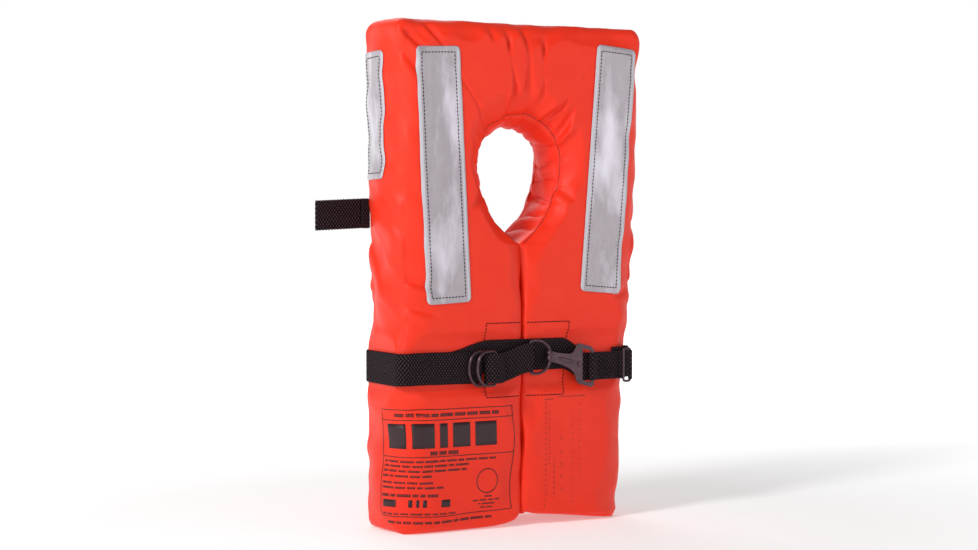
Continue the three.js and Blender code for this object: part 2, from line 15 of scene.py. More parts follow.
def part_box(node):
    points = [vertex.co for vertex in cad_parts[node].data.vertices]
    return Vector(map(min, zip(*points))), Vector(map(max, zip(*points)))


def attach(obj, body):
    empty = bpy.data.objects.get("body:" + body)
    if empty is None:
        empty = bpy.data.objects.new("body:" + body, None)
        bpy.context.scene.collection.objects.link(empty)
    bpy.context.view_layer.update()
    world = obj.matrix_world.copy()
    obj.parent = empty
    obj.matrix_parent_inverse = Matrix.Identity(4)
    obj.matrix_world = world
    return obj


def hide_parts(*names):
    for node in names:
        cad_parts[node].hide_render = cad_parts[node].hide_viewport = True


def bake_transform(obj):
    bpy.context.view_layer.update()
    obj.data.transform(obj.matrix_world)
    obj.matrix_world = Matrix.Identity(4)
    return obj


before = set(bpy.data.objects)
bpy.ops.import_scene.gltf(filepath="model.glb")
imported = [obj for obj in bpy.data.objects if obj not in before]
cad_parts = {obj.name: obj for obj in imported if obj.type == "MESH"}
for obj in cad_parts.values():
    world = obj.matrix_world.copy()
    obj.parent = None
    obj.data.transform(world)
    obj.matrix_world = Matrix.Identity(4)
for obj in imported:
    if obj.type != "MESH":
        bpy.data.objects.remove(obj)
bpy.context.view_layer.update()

scene = bpy.context.scene

# ---------- sizes from the frame ----------

MM = 0.001


def box_mm(node):
    """A CAD node's low and high corners, in millimetres from the jacket's own origin."""
    low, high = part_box(node)
    return (np.array(low) - ORIGIN) / MM, (np.array(high) - ORIGIN) / MM


slit_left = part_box("left_slit_gusset")[1].x
slit_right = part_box("right_slit_gusset")[0].x
front_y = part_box("left_front_cover")[0].y
back_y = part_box("left_back_cover")[1].y
ORIGIN = np.array([(slit_left + slit_right) / 2, (front_y + back_y) / 2, 0.0])

HEIGHT = box_mm("collar_top_gusset")[1][2]
EDGE_LEFT = (-box_mm("left_bottom_gusset")[0][0], -box_mm("collar_top_gusset")[0][0])
EDGE_RIGHT = (box_mm("right_bottom_gusset")[1][0], box_mm("collar_top_gusset")[1][0])
HALF_DEPTH = box_mm("left_back_cover")[1][1]
FOLD_Z = box_mm("collar_foam_middle")[0][2]
BELT_LOW, BELT_HIGH = box_mm("main_belt")[0][2], box_mm("main_belt")[1][2]
BELT_MID = (BELT_LOW + BELT_HIGH) / 2

# ---------- the shape of the cover ----------

HALF_SLIT = 0.8
HOLE_X = 3.5
HOLE_POINT_Z = 287
HOLE_CENTRE_Z = 372
HOLE_HALF_WIDTH = 48.5
HOLE_RISE = 46.5
HOLE_SHOULDER_Z = 321
RIM_RECESS = 12
RIM_RECESS_BACK = 20
RIM_REACH = 32
NECK_BULGE_SIDE = 2
NECK_BULGE_TOP = 9
FRONT_ROUND = 20
BACK_ROUND = 9
TOP_ROUND = 10
SLIT_ROUND = 6
RIM_ROUND = 4
FOOT_ROUND = 9
CORNER_ROUND = 12
PUFF = 3.0
BELT_CLEARANCE = 0.9
LEFT_FLARE = 5
LEFT_WAIST = 9
RIGHT_SWELL = 6
RIGHT_FOOT_RISE = 8
RIGHT_TOP_RISE = 2.5
FOAM_INSET = 8
FOAM_HOLE_GROWTH = 1.4
COARSE = 6.0
FINE = 2.6


def placed(points):
    """Millimetres in the jacket's axes to metres in the frame."""
    return np.asarray(points, float) * MM + ORIGIN


def edge_at(side, z):
    """How far the left (-1) or right (1) edge is from the slit at a height."""
    bottom, top = EDGE_LEFT if side < 0 else EDGE_RIGHT
    return bottom + (top - bottom) * np.asarray(z) / HEIGHT


def smooth(t):
    t = np.clip(t, 0, 1)
    return t * t * (3 - 2 * t)


def resample(points, count, stretch=None):
    """count + 1 points evenly spaced along a polyline, or spaced by stretch(0..1)."""
    points = np.asarray(points, float)
    steps = np.r_[0, np.cumsum(np.linalg.norm(np.diff(points, axis=0), axis=1))]
    share = np.linspace(0, 1, count + 1)
    if stretch is not None:
        share = stretch(share)
    where = share * steps[-1]
    return np.column_stack([np.interp(where, steps, points[:, k]) for k in range(points.shape[1])])


def hole_rim(side):
    """One half of the head hole's rim, from its point at the slit up to its top, as (x, z)."""
    t = np.linspace(0, 1, 60)
    side_x = HOLE_X + side * HOLE_HALF_WIDTH
    tip, shoulder = np.array([side * HALF_SLIT, HOLE_POINT_Z]), np.array([side_x, HOLE_SHOULDER_Z])
    widest = np.array([side_x, HOLE_CENTRE_Z])
    lower = np.outer((1 - t) ** 2, tip) + np.outer(2 * t * (1 - t), shoulder) + np.outer(t**2, widest)
    angle = np.linspace(0, math.pi / 2, 60)
    upper_x = HOLE_X + side * HOLE_HALF_WIDTH * np.cos(angle)
    return np.vstack([lower, np.column_stack([upper_x, HOLE_CENTRE_Z + HOLE_RISE * np.sin(angle)])[1:]])


def outline(side):
    """One half of the outline above the hole's point, up the side and along the top, as (x, z)."""
    corner_z = HEIGHT - CORNER_ROUND
    side_z = np.linspace(HOLE_POINT_Z, corner_z, 40)
    flank = np.column_stack([side * edge_at(side, side_z), side_z])
    angle = np.linspace(0, math.pi / 2, 12)[1:]
    cx = edge_at(side, corner_z) - CORNER_ROUND
    corner = np.column_stack([
        side * (cx + CORNER_ROUND * np.cos(angle)), corner_z + CORNER_ROUND * np.sin(angle)
    ])
    top = np.column_stack([np.linspace(side * cx, HOLE_X, 30)[1:], np.full(29, HEIGHT)])
    return np.vstack([flank, corner, top])


class Cover:
    """The whole cover as one tube: its sections run from the slit and hole rim out to the edge, round the
    side gusset, back along the back panel, and through the slit or neck gusset. It has a cap at each foot."""

    def __init__(self, step):
        low = max(8, round(HOLE_POINT_Z / step))
        high = max(8, round(360 / step))
        foot_z = np.linspace(0, HOLE_POINT_Z, low + 1)

        def half(side):
            slit = np.column_stack([np.full(low + 1, side * HALF_SLIT), foot_z])
            flank = np.column_stack([side * edge_at(side, foot_z), foot_z])
            inner = np.vstack([slit, resample(hole_rim(side), high)[1:]])
            outer = np.vstack([flank, resample(outline(side), high)[1:]])
            return inner, outer

        (left_inner, left_outer), (right_inner, right_outer) = half(-1), half(1)
        self.inner = np.vstack([left_inner, right_inner[-2::-1]])
        self.outer = np.vstack([left_outer, right_outer[-2::-1]])
        self.nu = len(self.inner)
        self.nv = round((EDGE_RIGHT[0] + 6) / step)
        self.ng = round(2 * HALF_DEPTH / step)
        self.build()

    def build(self):
        nu, nv, ng = self.nu, self.nv, self.ng
        span = self.outer - self.inner
        length = np.linalg.norm(span, axis=1)[:, None]
        along = span / length
        rim_z = self.inner[:, 1][:, None]
        hole_z = smooth((rim_z - HOLE_POINT_Z + 26) / 66)
        up = self.outer[:, 1][:, None]
        top = smooth((up - HEIGHT + 40) / 38)
        r_front = FRONT_ROUND * (1 - top) + TOP_ROUND * top
        r_back = BACK_ROUND * (1 - top) + TOP_ROUND * top
        r_in = SLIT_ROUND * (1 - hole_z) + RIM_ROUND * hole_z
        recess_front = RIM_RECESS * hole_z
        recess_back = RIM_RECESS_BACK * hole_z

        foot = self.inner[:, 1][:, None]
        near = np.clip(foot / FOOT_ROUND, 0, 1)
        angle = math.pi / 4 * (1 + near)
        tuck = FOOT_ROUND * (1 - np.sin(angle))
        lift = np.where(foot < FOOT_ROUND, FOOT_ROUND * (1 - np.cos(angle)) - foot, 0)

        def section(c, y, side):
            """Places points given as distance c from the inner edge and depth y."""
            flat = self.inner[:, None, :] + along[:, None, :] * c[:, :, None]
            x, z = flat[..., 0], flat[..., 1] + lift
            return np.stack([x, y, z, np.full_like(x, side), c, length - c], axis=-1)

        share = np.linspace(0, 1, nv + 1)[None, :]
        c = length * share
        a = length - c
        puff = PUFF * (1 - (2 * share - 1) ** 4)

        def panel(r_out, recess):
            """Distance from the inner edge, and depth, of a panel whose outer edge is rounded by r_out."""
            deep = HALF_DEPTH - recess * np.clip(1 - c / RIM_REACH, 0, 1) ** 2
            phi_out = math.pi / 4 * (1 + np.clip(a / r_out, 0, 1))
            phi_in = math.pi / 4 * (1 + np.clip(c / r_in, 0, 1))
            reach = np.where(a < r_out, length - r_out * (1 - np.cos(phi_out)), c)
            reach = np.where(c < r_in, r_in * (1 - np.cos(phi_in)), reach)
            drop = r_out * (1 - np.sin(phi_out)) + r_in * (1 - np.sin(phi_in))
            return np.clip(reach, tuck, length - tuck), deep - drop + puff * smooth(a / 30) - 1.0 - tuck

        c_front, depth_front = panel(r_front, recess_front)
        c_back, depth_back = panel(r_back, recess_back)
        front = section(c_front, -depth_front, 0)
        back = section(c_back, depth_back, 2)

        rows = np.linspace(-1, 1, ng + 1)[None, 1:-1]

        def wall(reach, front_radius, back_radius):
            y = rows * reach
            b = reach - np.abs(y)
            radius = np.where(y < 0, front_radius, back_radius)
            phi = math.pi / 4 * (1 - np.clip(b / radius, 0, 1))
            pull = radius * (1 - np.cos(phi))
            return pull, np.sign(y) * np.where(b < radius, reach - radius + radius * np.sin(phi), np.abs(y))

        pull, y = wall(np.full((nu, 1), HALF_DEPTH - 1.0), r_front, r_back)
        bulge = 2.0 * (1 - rows**2)
        outer_wall = section(length - pull + bulge - tuck, y * (1 - tuck / HALF_DEPTH), 1)
        pull, y = wall(HALF_DEPTH - 1.0 - np.where(rows < 0, recess_front, recess_back), r_in, r_in)
        top_share = smooth((rim_z - HOLE_CENTRE_Z) / HOLE_RISE)
        neck_bulge = NECK_BULGE_SIDE + (NECK_BULGE_TOP - NECK_BULGE_SIDE) * top_share
        bulge = neck_bulge * hole_z * (1 - rows**2) ** 0.7
        inner_wall = section(pull - bulge + tuck, y * (1 - tuck / HALF_DEPTH), 3)
        loops = np.concatenate([front, outer_wall, back[:, ::-1], inner_wall[:, ::-1]], axis=1)
        self.loops = loops
        self.ns = loops.shape[1]

        points = [loops.reshape(-1, 6)]
        faces = []
        index = np.arange(nu * self.ns).reshape(nu, self.ns)
        a0, a1 = index[:-1], index[1:]
        b0, b1 = np.roll(a0, -1, axis=1), np.roll(a1, -1, axis=1)
        faces.append(np.stack([a0, a1, b1, b0], axis=-1).reshape(-1, 4))
        base = nu * self.ns
        for end, turn in ((0, 1), (nu - 1, -1)):
            loop = loops[end]
            cap_points = loop[: nv + 1][None, :, :] * (1 - (rows[0][:, None, None] + 1) / 2)
            back_row = loop[nv + ng : 2 * nv + ng + 1][::-1]
            cap_points = cap_points + back_row[None, :, :] * ((rows[0][:, None, None] + 1) / 2)
            cap_points[..., 2] = loop[0, 2]
            grid = np.zeros((ng + 1, nv + 1), int)
            first = end * self.ns
            grid[0] = first + np.arange(nv + 1)
            grid[-1] = first + np.arange(nv + ng, 2 * nv + ng + 1)[::-1]
            grid[1:-1, -1] = first + nv + 1 + np.arange(ng - 1)
            grid[1:-1, 0] = first + 2 * nv + ng + 1 + np.arange(ng - 1)[::-1]
            inside = cap_points[:, 1:-1]
            edge = np.minimum(
                np.minimum(inside[..., 4], inside[..., 5]), HALF_DEPTH - np.abs(inside[..., 1])
            )
            phi = math.pi / 4 * (1 - np.clip(edge / FOOT_ROUND, 0, 1))
            inside[..., 2] = FOOT_ROUND * (1 - np.cos(phi))
            inside[..., 3] = 4
            grid[1:-1, 1:-1] = base + np.arange(inside.shape[0] * inside.shape[1]).reshape(inside.shape[:2])
            base += inside.shape[0] * inside.shape[1]
            points.append(inside.reshape(-1, 6))
            corners = [grid[:-1, :-1], grid[:-1, 1:], grid[1:, 1:], grid[1:, :-1]]
            quads = np.stack(corners, axis=-1).reshape(-1, 4)
            faces.append(quads[:, ::turn])
        data = np.vstack(points)
        self.points = data[:, :3].copy()
        self.side = data[:, 3].copy()
        self.inner_gap = data[:, 4].copy()
        self.outer_gap = data[:, 5].copy()
        self.faces = np.vstack(faces)
        self.loop_count = nu * self.ns

    def seams(self):
        """Vertex numbers along the sewn edges: both rims, both outer edges, and round each foot."""
        index = np.arange(self.loop_count).reshape(self.nu, self.ns)
        columns = [0, self.nv, self.nv + self.ng, 2 * self.nv + self.ng]
        return np.unique(np.r_[index[:, columns].ravel(), index[0], index[-1]])

    def corners(self):
        """Section numbers where the four sides meet, for carrying a moved coarse cover to a finer one."""
        return [0, self.nv, self.nv + self.ng, 2 * self.nv + self.ng, self.ns]


def mesh_object(name, points, faces, shade_smooth=True):
    """A mesh from points in millimetres and faces, placed in the frame."""
    mesh = bpy.data.meshes.new(name)
    mesh.from_pydata(placed(points).tolist(), [], [list(map(int, face)) for face in faces])
    mesh.polygons.foreach_set("use_smooth", [shade_smooth] * len(mesh.polygons))
    mesh.update()
    thing = bpy.data.objects.new(name, mesh)
    scene.collection.objects.link(thing)
    return thing


def normals_of(points, faces):
    """Unit normals at each point of a quad mesh."""
    p = points[faces]
    across = np.cross(p[:, 2] - p[:, 0], p[:, 3] - p[:, 1])
    total = np.zeros_like(points)
    for k in range(4):
        np.add.at(total, faces[:, k], across)
    return total / np.maximum(np.linalg.norm(total, axis=1), 1e-9)[:, None]


def waves(seed, points, wavelength, count=14):
    """Smooth noise of about one wavelength, from -1 to 1, as a sum of seeded plane waves."""
    rng = np.random.default_rng(seed)
    total = np.zeros(len(points))
    for _ in range(count):
        direction = rng.normal(size=points.shape[1])
        direction *= rng.uniform(0.7, 1.4) * 2 * math.pi / wavelength / np.linalg.norm(direction)
        total += np.sin(points @ direction + rng.uniform(0, 2 * math.pi))
    return total / math.sqrt(count / 2) / 2


# ---------- the cover ----------

def inflate(coarse):
    """The moves of cloth under light pressure that is sewn down at its seams and puckers between them."""
    body = mesh_object("cover_cloth", coarse.points, coarse.faces)
    group = body.vertex_groups.new(name="sewn")
    group.add([int(i) for i in coarse.seams()], 1.0, "REPLACE")
    cloth = body.modifiers.new("cloth", "CLOTH")
    settings = cloth.settings
    settings.quality = 6
    settings.mass = 0.1
    settings.tension_stiffness = 12
    settings.compression_stiffness = 6
    settings.shear_stiffness = 4
    settings.bending_stiffness = 0.06
    settings.vertex_group_mass = "sewn"
    settings.pin_stiffness = 2
    settings.shrink_min = -0.025
    settings.use_pressure = True
    settings.uniform_pressure_force = 1.5
    settings.effector_weights.gravity = 0
    cloth.collision_settings.use_collision = False
    for number in range(1, 19):
        scene.frame_set(number)
    evaluated = body.evaluated_get(bpy.context.evaluated_depsgraph_get())
    after = np.empty(len(coarse.points) * 3)
    evaluated.data.vertices.foreach_get("co", after)
    scene.frame_set(1)
    moves = (after.reshape(-1, 3) - placed(coarse.points)) / MM
    bpy.data.objects.remove(body)
    grid = moves[: coarse.loop_count].reshape(coarse.nu, coarse.ns, 3)
    for _ in range(2):
        grid[1:-1] = (grid[:-2] + 2 * grid[1:-1] + grid[2:]) / 4
        grid[:] = (np.roll(grid, 1, axis=1) + 2 * grid + np.roll(grid, -1, axis=1)) / 4
    return moves


def carry(moves, coarse, fine):
    """Spreads moves on the coarse cover's loops over a finer cover."""
    grid = moves[: coarse.loop_count].reshape(coarse.nu, coarse.ns, 3)
    grid = np.concatenate([grid, grid[:, :1]], axis=1)
    u = np.linspace(0, coarse.nu - 1, fine.nu)
    s = np.concatenate([
        np.linspace(c0, c1, f1 - f0, endpoint=False)
        for c0, c1, f0, f1 in zip(coarse.corners(), coarse.corners()[1:], fine.corners(), fine.corners()[1:])
    ])
    out = np.zeros((len(fine.points), 3))
    u0 = np.minimum(u.astype(int), coarse.nu - 2)
    s0 = np.minimum(s.astype(int), coarse.ns - 1)
    fu, fs = smooth(u - u0)[:, None, None], smooth(s - s0)[None, :, None]
    corner = lambda du, ds: grid[np.ix_(u0 + du, s0 + ds)]
    near = corner(0, 0) * (1 - fu) + corner(1, 0) * fu
    far = corner(0, 1) * (1 - fu) + corner(1, 1) * fu
    mixed = near * (1 - fs) + far * fs
    out[: fine.loop_count] = mixed.reshape(-1, 3)
    return out


# Creases on the panels, each from its outer end to its inner end as (x, z), with a depth and a half width.
CREASE_GAIN = 2.5
CREASE_WIDTH = 0.6
CREASES = [
    ((-109, 507), (-51, 420), 1.8, 4.5),
    ((-95, 488), (-55, 422), 1.3, 4.0),
    ((-18, 500), (-10, 430), 2.4, 5.0),
    ((2, 508), (6, 440), 1.2, 6.0),
    ((26, 494), (20, 434), 1.8, 4.5),
    ((83, 474), (31, 412), 1.8, 4.5),
    ((82, 460), (50, 392), -2.2, 5.0),
    ((-40, 505), (-30, 440), 1.0, 7.0),
    ((-46, 345), (-78, 300), 0.9, 6.0),
    ((52, 345), (80, 300), 0.8, 6.0),
    ((-60, 196), (-22, 188), 1.2, 5.0),
    ((-126, 120), (-60, 142), 1.0, 5.0),
    ((30, 206), (100, 222), 1.0, 5.0),
    ((-134, 500), (-98, 468), 1.5, 5.0),
    ((-136, 484), (-110, 440), 1.2, 6.0),
    ((-134, 252), (-62, 230), 1.3, 6.0),
    ((-134, 226), (-36, 198), 1.2, 6.0),
    ((122, 238), (28, 216), 1.0, 6.0),
]


def sculpt(cover):
    """Moves the cover's points along their normals into creases, gathers and folds."""
    points = cover.points
    x, y, z = points.T
    normal = normals_of(points, cover.faces)
    side, inner, outer = cover.side, cover.inner_gap, cover.outer_gap
    face = (side == 0) | (side == 2)
    neck = (side == 3) & (z > HOLE_POINT_Z - 6)
    push = np.zeros(len(points))

    angle = np.arctan2(z - HOLE_CENTRE_Z + 12, x - HOLE_X)
    around = np.column_stack([np.cos(angle), np.sin(angle)]) * HOLE_HALF_WIDTH
    near_hole = smooth((z - HOLE_POINT_Z - 4) / 30)
    gather = sharpened(waves(3, around, 22) + 0.5 * waves(4, around, 11))
    push += np.where(face, near_hole * gather * 1.2 * np.exp(-np.clip(inner - 3, 0, None) / 11), 0)
    across = 1 - np.clip(np.abs(y) / (HALF_DEPTH - RIM_RECESS), 0, 1) ** 2
    wander = 3.5 * np.sin(y / 17 + 5 * angle)
    for pitch, height, phase in ((19, 3.6, 0.4), (31, 2.0, 2.0)):
        turns = ((angle * HOLE_HALF_WIDTH + wander) / pitch + phase) % 1
        puff = np.sqrt(np.clip(1 - (2 * turns - 1) ** 2, 0, 1)) - 0.78
        push += np.where(neck, height * puff * (0.25 + 0.9 * across), 0)

    for start, end, deep, width in CREASES:
        width *= CREASE_WIDTH
        start, end = np.array(start, float), np.array(end, float)
        run = end - start
        reach = np.linalg.norm(run)
        run /= reach
        t = (x - start[0]) * run[0] + (z - start[1]) * run[1]
        off = (x - start[0]) * run[1] - (z - start[1]) * run[0] - 1.5 * np.sin(t / 13 + start[0])
        fade = smooth((t + 6) / 14) * smooth((reach + 10 - t) / 26)
        groove = np.exp(-((off / width) ** 2)) - 0.55 * np.exp(-(((off - 2.1 * width) / (1.5 * width)) ** 2))
        push -= np.where(side == 0, CREASE_GAIN * deep * fade * groove, 0)
        push -= np.where(side == 2, 0.6 * deep * fade * groove, 0)

    side_folds = sharpened(waves(13, np.column_stack([z * 0.75 - y * 0.62, y * 0.12]), 30))
    push += 2.6 * side_folds * np.exp(-(((z - 265) / 70) ** 2)) * (side == 1)
    slant = np.column_stack([x * 0.35 + z * 0.9, x * 0.1])
    left_face = smooth((-x - 50) / 40) + smooth((x - 70) / 40)
    push += 1.9 * sharpened(waves(17, slant, 34)) * np.exp(-(((z - 222) / 34) ** 2)) * left_face * face

    level = np.column_stack([x * 0.35, z, y * 0.3])
    above = np.exp(-(((z - BELT_MID) / 38) ** 2))
    push += above * 0.9 * waves(8, level, 28) * (side < 3)
    flat = np.column_stack([x, z, y])
    push += (1.3 * waves(10, flat, 95) + 0.9 * waves(11, flat, 46)) * (side < 3)
    sewn = np.exp(-np.minimum(outer, np.where(side == 1, HALF_DEPTH - np.abs(y), 99)) / 7)
    run_along = np.column_stack([x + z, x - z]) * 0.7
    push += 0.9 * sewn * waves(12, run_along, 32) * ((face & (outer < 24)) | (side == 1))
    push += 0.7 * waves(14, slant, 34) * np.exp(-(((z - 60) / 60) ** 2)) * smooth((np.abs(x) - 60) / 50)

    points += normal * push[:, None]
    slit_corner = np.exp(-inner / 14) * np.exp(-z / 16) * (z < 60)
    points[:, 2] += 9 * slit_corner


def foot_rise(x, z):
    """How much shorter the right half's foot is, most of all beside the slit."""
    return RIGHT_FOOT_RISE * smooth((x - 1) / 6) * smooth((125 - x) / 100) * np.exp(-z / 60)


def shape_outline(points):
    """The uneven outline: left flare and waist, right swell, short right foot, raised right top."""
    x, y, z = points.T
    to_left, to_right = smooth((-x - 60) / 70), smooth((x - 60) / 70)
    frontness = np.clip((HALF_DEPTH - y) / (2 * HALF_DEPTH), 0, 1)
    waist = LEFT_WAIST * (1 - z / HEIGHT) * smooth((z - 180) / 30)
    points[:, 0] += to_left * (waist - LEFT_FLARE * frontness)
    points[:, 0] += to_right * RIGHT_SWELL * smooth((z - 170) / 50) * smooth((475 - z) / 50)
    points[:, 2] += foot_rise(x, z)
    points[:, 2] += RIGHT_TOP_RISE * smooth((x - 10) / 70) * smooth((z - 430) / 70)


def sharpened(wave):
    """Turns soft waves into rounder swells with tighter valleys."""
    return np.sign(wave) * np.sqrt(np.abs(wave))


def draw_in_belt(points):
    """The belt draws the cover in, so nothing under it stands past the CAD slab's faces."""
    x, y, z = points.T
    free = 5.0 * smooth((np.abs(z - BELT_MID - 4) - 21) / 18)
    depth = HALF_DEPTH - BELT_CLEARANCE + free
    points[:, 1] = np.clip(y, -depth, depth)
    flare = LEFT_FLARE * np.clip((HALF_DEPTH - y) / (2 * HALF_DEPTH), 0, 1)
    left = edge_at(-1, BELT_MID) - BELT_CLEARANCE + free + flare
    right = edge_at(1, BELT_MID) - BELT_CLEARANCE + free
    near = np.abs(z - BELT_MID) < 40
    points[:, 0] = np.where(near, np.clip(x, -left, right), x)


def make_cover():
    fine = Cover(FINE)
    coarse = Cover(COARSE)
    moves = inflate(coarse)
    size = np.linalg.norm(moves, axis=1)[:, None]
    moves *= np.minimum(1, 5.0 / np.maximum(size, 1e-6))
    fine.points += carry(moves, coarse, fine)
    sculpt(fine)
    shape_outline(fine.points)
    draw_in_belt(fine.points)
    fine.points[:, 2] = np.clip(fine.points[:, 2], 0, HEIGHT + RIGHT_TOP_RISE)
    fine.points[:, 1] = np.clip(fine.points[:, 1], -HALF_DEPTH - 3, HALF_DEPTH + 3)
    cover = mesh_object("cover", fine.points, fine.faces)
    cover.data.materials.append(nylon())
    names = [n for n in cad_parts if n.endswith(("_cover", "_gusset"))]
    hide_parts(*names)
    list(fold_span())
    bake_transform(cover)
    return fine


def fold_span(half=24):
    """Start and end points of the bend at the collar fold."""
    return placed([0, HALF_DEPTH, FOLD_Z - half]).tolist(), placed([0, HALF_DEPTH, FOLD_Z + half]).tolist()


# ---------- materials ----------

class Nodes:
    """A small builder for node materials."""

    def __init__(self, name):
        self.material = bpy.data.materials.new(name)
        self.material.use_nodes = True
        self.tree = self.material.node_tree
        self.shader = self.tree.nodes["Principled BSDF"]

    def add(self, kind, **values):
        node = self.tree.nodes.new(kind)
        for key, value in values.items():
            if hasattr(node, key):
                setattr(node, key, value)
            else:
                node.inputs[key.replace("_", " ")].default_value = value
        return node

    def link(self, output, target):
        self.tree.links.new(output, target)

    def math(self, operation, a, b=0.0):
        node = self.tree.nodes.new("ShaderNodeMath")
        node.operation = operation
        for socket, value in zip(node.inputs, (a, b)):
            if isinstance(value, (int, float)):
                socket.default_value = value
            else:
                self.link(value, socket)
        return node.outputs[0]

    def mix(self, share, low, high):
        node = self.tree.nodes.new("ShaderNodeMix")
        node.data_type = "RGBA"
        for socket, value in ((node.inputs[0], share), (node.inputs[6], low), (node.inputs[7], high)):
            if isinstance(value, (int, float, tuple)):
                socket.default_value = value
            else:
                self.link(value, socket)
        return node.outputs[2]

    def noise(self, scale, detail=3.0, roughness=0.5, vector=None):
        node = self.tree.nodes.new("ShaderNodeTexNoise")
        node.inputs["Scale"].default_value = scale
        node.inputs["Detail"].default_value = detail
        node.inputs["Roughness"].default_value = roughness
        self.link(vector or self.place(), node.inputs["Vector"])
        return node.outputs["Fac"]

    def place(self):
        return self.add("ShaderNodeTexCoord").outputs["Object"]

    def bump(self, height, distance, strength=1.0):
        node = self.tree.nodes.new("ShaderNodeBump")
        node.inputs["Distance"].default_value = distance
        node.inputs["Strength"].default_value = strength
        self.link(height, node.inputs["Height"])
        self.link(node.outputs[0], self.shader.inputs["Normal"])

    def set(self, **values):
        for key, value in values.items():
            socket = self.shader.inputs[key.replace("_", " ")]
            if isinstance(value, (int, float, tuple)):
                socket.default_value = value
            else:
                self.link(value, socket)


def srgb(red, green, blue):
    """A linear colour from 0-255 display values."""
    channel = lambda v: ((v / 255 + 0.055) / 1.055) ** 2.4 if v > 10 else v / 255 / 12.92
    return (channel(red), channel(green), channel(blue), 1.0)


def nylon():
    n = Nodes("orange_nylon")
    blotch = n.noise(9, 2)
    worn = n.noise(60, 3)
    colour = n.mix(blotch, srgb(234, 42, 16), srgb(243, 54, 22))
    colour = n.mix(n.math("MULTIPLY", worn, 0.25), colour, srgb(216, 30, 10))
    weave_x = n.add("ShaderNodeTexWave", bands_direction="X")
    weave_z = n.add("ShaderNodeTexWave", bands_direction="Z")
    for wave in (weave_x, weave_z):
        wave.inputs["Scale"].default_value = 260
        wave.inputs["Distortion"].default_value = 0.6
        n.link(n.place(), wave.inputs["Vector"])
    weave = n.math("MULTIPLY", weave_x.outputs["Fac"], weave_z.outputs["Fac"])
    n.bump(n.math("ADD", n.math("MULTIPLY", weave, 0.5), n.noise(140, 4, 0.6)), 0.0003, 0.35)
    n.set(Base_Color=colour, Roughness=n.math("ADD", n.math("MULTIPLY", worn, 0.18), 0.40))
    n.set(Specular_IOR_Level=0.3)
    return n.material


# ---------- camera, light and floor ----------

CAMERA_BEARING = -31
CAMERA_DISTANCE = 2.15
CAMERA_HEIGHT = 0.3125
CAMERA_PITCH = -1.5
CAMERA_OFFSET = -0.035
LENS = 77.7
# The studio: white walls up to WALL_TOP (the sine of the angle above the horizon) and a dimmer ceiling.
WALL_TOP = 0.16
CEILING = 0.27
FLOOR_GLOW = 0.3
FLOOR_GLOW_FAR = 0.9


def make_camera():
    turn = math.radians(CAMERA_BEARING)
    back = Vector((math.sin(turn), -math.cos(turn), 0))
    right = Vector((math.cos(turn), math.sin(turn), 0))
    target = Vector(placed([0, -HALF_DEPTH, 0]))
    camera = bpy.data.objects.new("camera", bpy.data.cameras.new("camera"))
    camera.data.lens = LENS
    camera.data.clip_start = 0.05
    camera.location = target + back * CAMERA_DISTANCE + right * CAMERA_OFFSET + Vector((0, 0, CAMERA_HEIGHT))
    camera.rotation_euler = (math.radians(90 + CAMERA_PITCH), 0, turn)
    scene.collection.objects.link(camera)
    scene.camera = camera


def area_light(name, location, target, size, power):
    light = bpy.data.objects.new(name, bpy.data.lights.new(name, "AREA"))
    light.data.shape = "RECTANGLE"
    light.data.size, light.data.size_y = size
    light.data.energy = power
    light.location = location
    aim = Vector(target) - Vector(location)
    light.rotation_euler = aim.to_track_quat("-Z", "Y").to_euler()
    scene.collection.objects.link(light)


def make_stage():
    world = bpy.data.worlds.new("studio")
    world.use_nodes = True
    tree = world.node_tree
    split = tree.nodes.new("ShaderNodeSeparateXYZ")
    tree.links.new(tree.nodes.new("ShaderNodeTexCoord").outputs["Generated"], split.inputs[0])
    fade = tree.nodes.new("ShaderNodeMapRange")
    for socket, value in zip(fade.inputs[1:5], (WALL_TOP, WALL_TOP + 0.2, 1.0, CEILING)):
        socket.default_value = value
    tree.links.new(split.outputs[2], fade.inputs[0])
    tree.links.new(fade.outputs[0], tree.nodes["Background"].inputs[1])
    tree.nodes["Background"].inputs[0].default_value = (1, 1, 1, 1)
    scene.world = world
    bpy.ops.mesh.primitive_plane_add(size=60, location=(0, 0, -0.0005))
    floor = bpy.context.object
    floor.name = "floor"
    paint = Nodes("floor_paint")
    paint.set(Base_Color=(0.9, 0.9, 0.9, 1), Roughness=0.9)
    paint.set(Emission_Color=(1, 1, 1, 1), Emission_Strength=FLOOR_GLOW)
    tree = paint.material.node_tree
    shader = next(node for node in tree.nodes if node.type == "BSDF_PRINCIPLED")
    away = tree.nodes.new("ShaderNodeVectorMath")
    away.operation = "LENGTH"
    tree.links.new(tree.nodes.new("ShaderNodeTexCoord").outputs["Object"], away.inputs[0])
    glow = tree.nodes.new("ShaderNodeMapRange")
    for socket, value in zip(glow.inputs[1:5], (0.4, 1.8, FLOOR_GLOW, FLOOR_GLOW_FAR)):
        socket.default_value = value
    tree.links.new(away.outputs["Value"], glow.inputs[0])
    tree.links.new(glow.outputs[0], shader.inputs["Emission Strength"])
    floor.data.materials.append(paint.material)
    middle = (0.02, 0, 0.28)
    area_light("key", (-1.9, -0.7, 1.5), middle, (0.4, 0.4), 31)
    area_light("fill", (1.6, -1.6, 0.7), middle, (1.0, 1.0), 2.5)
    area_light("rim", (0.4, 1.6, 1.6), middle, (1.0, 0.6), 8)
    scene.view_settings.view_transform = "Standard"


# ---------- what lies on the cover ----------

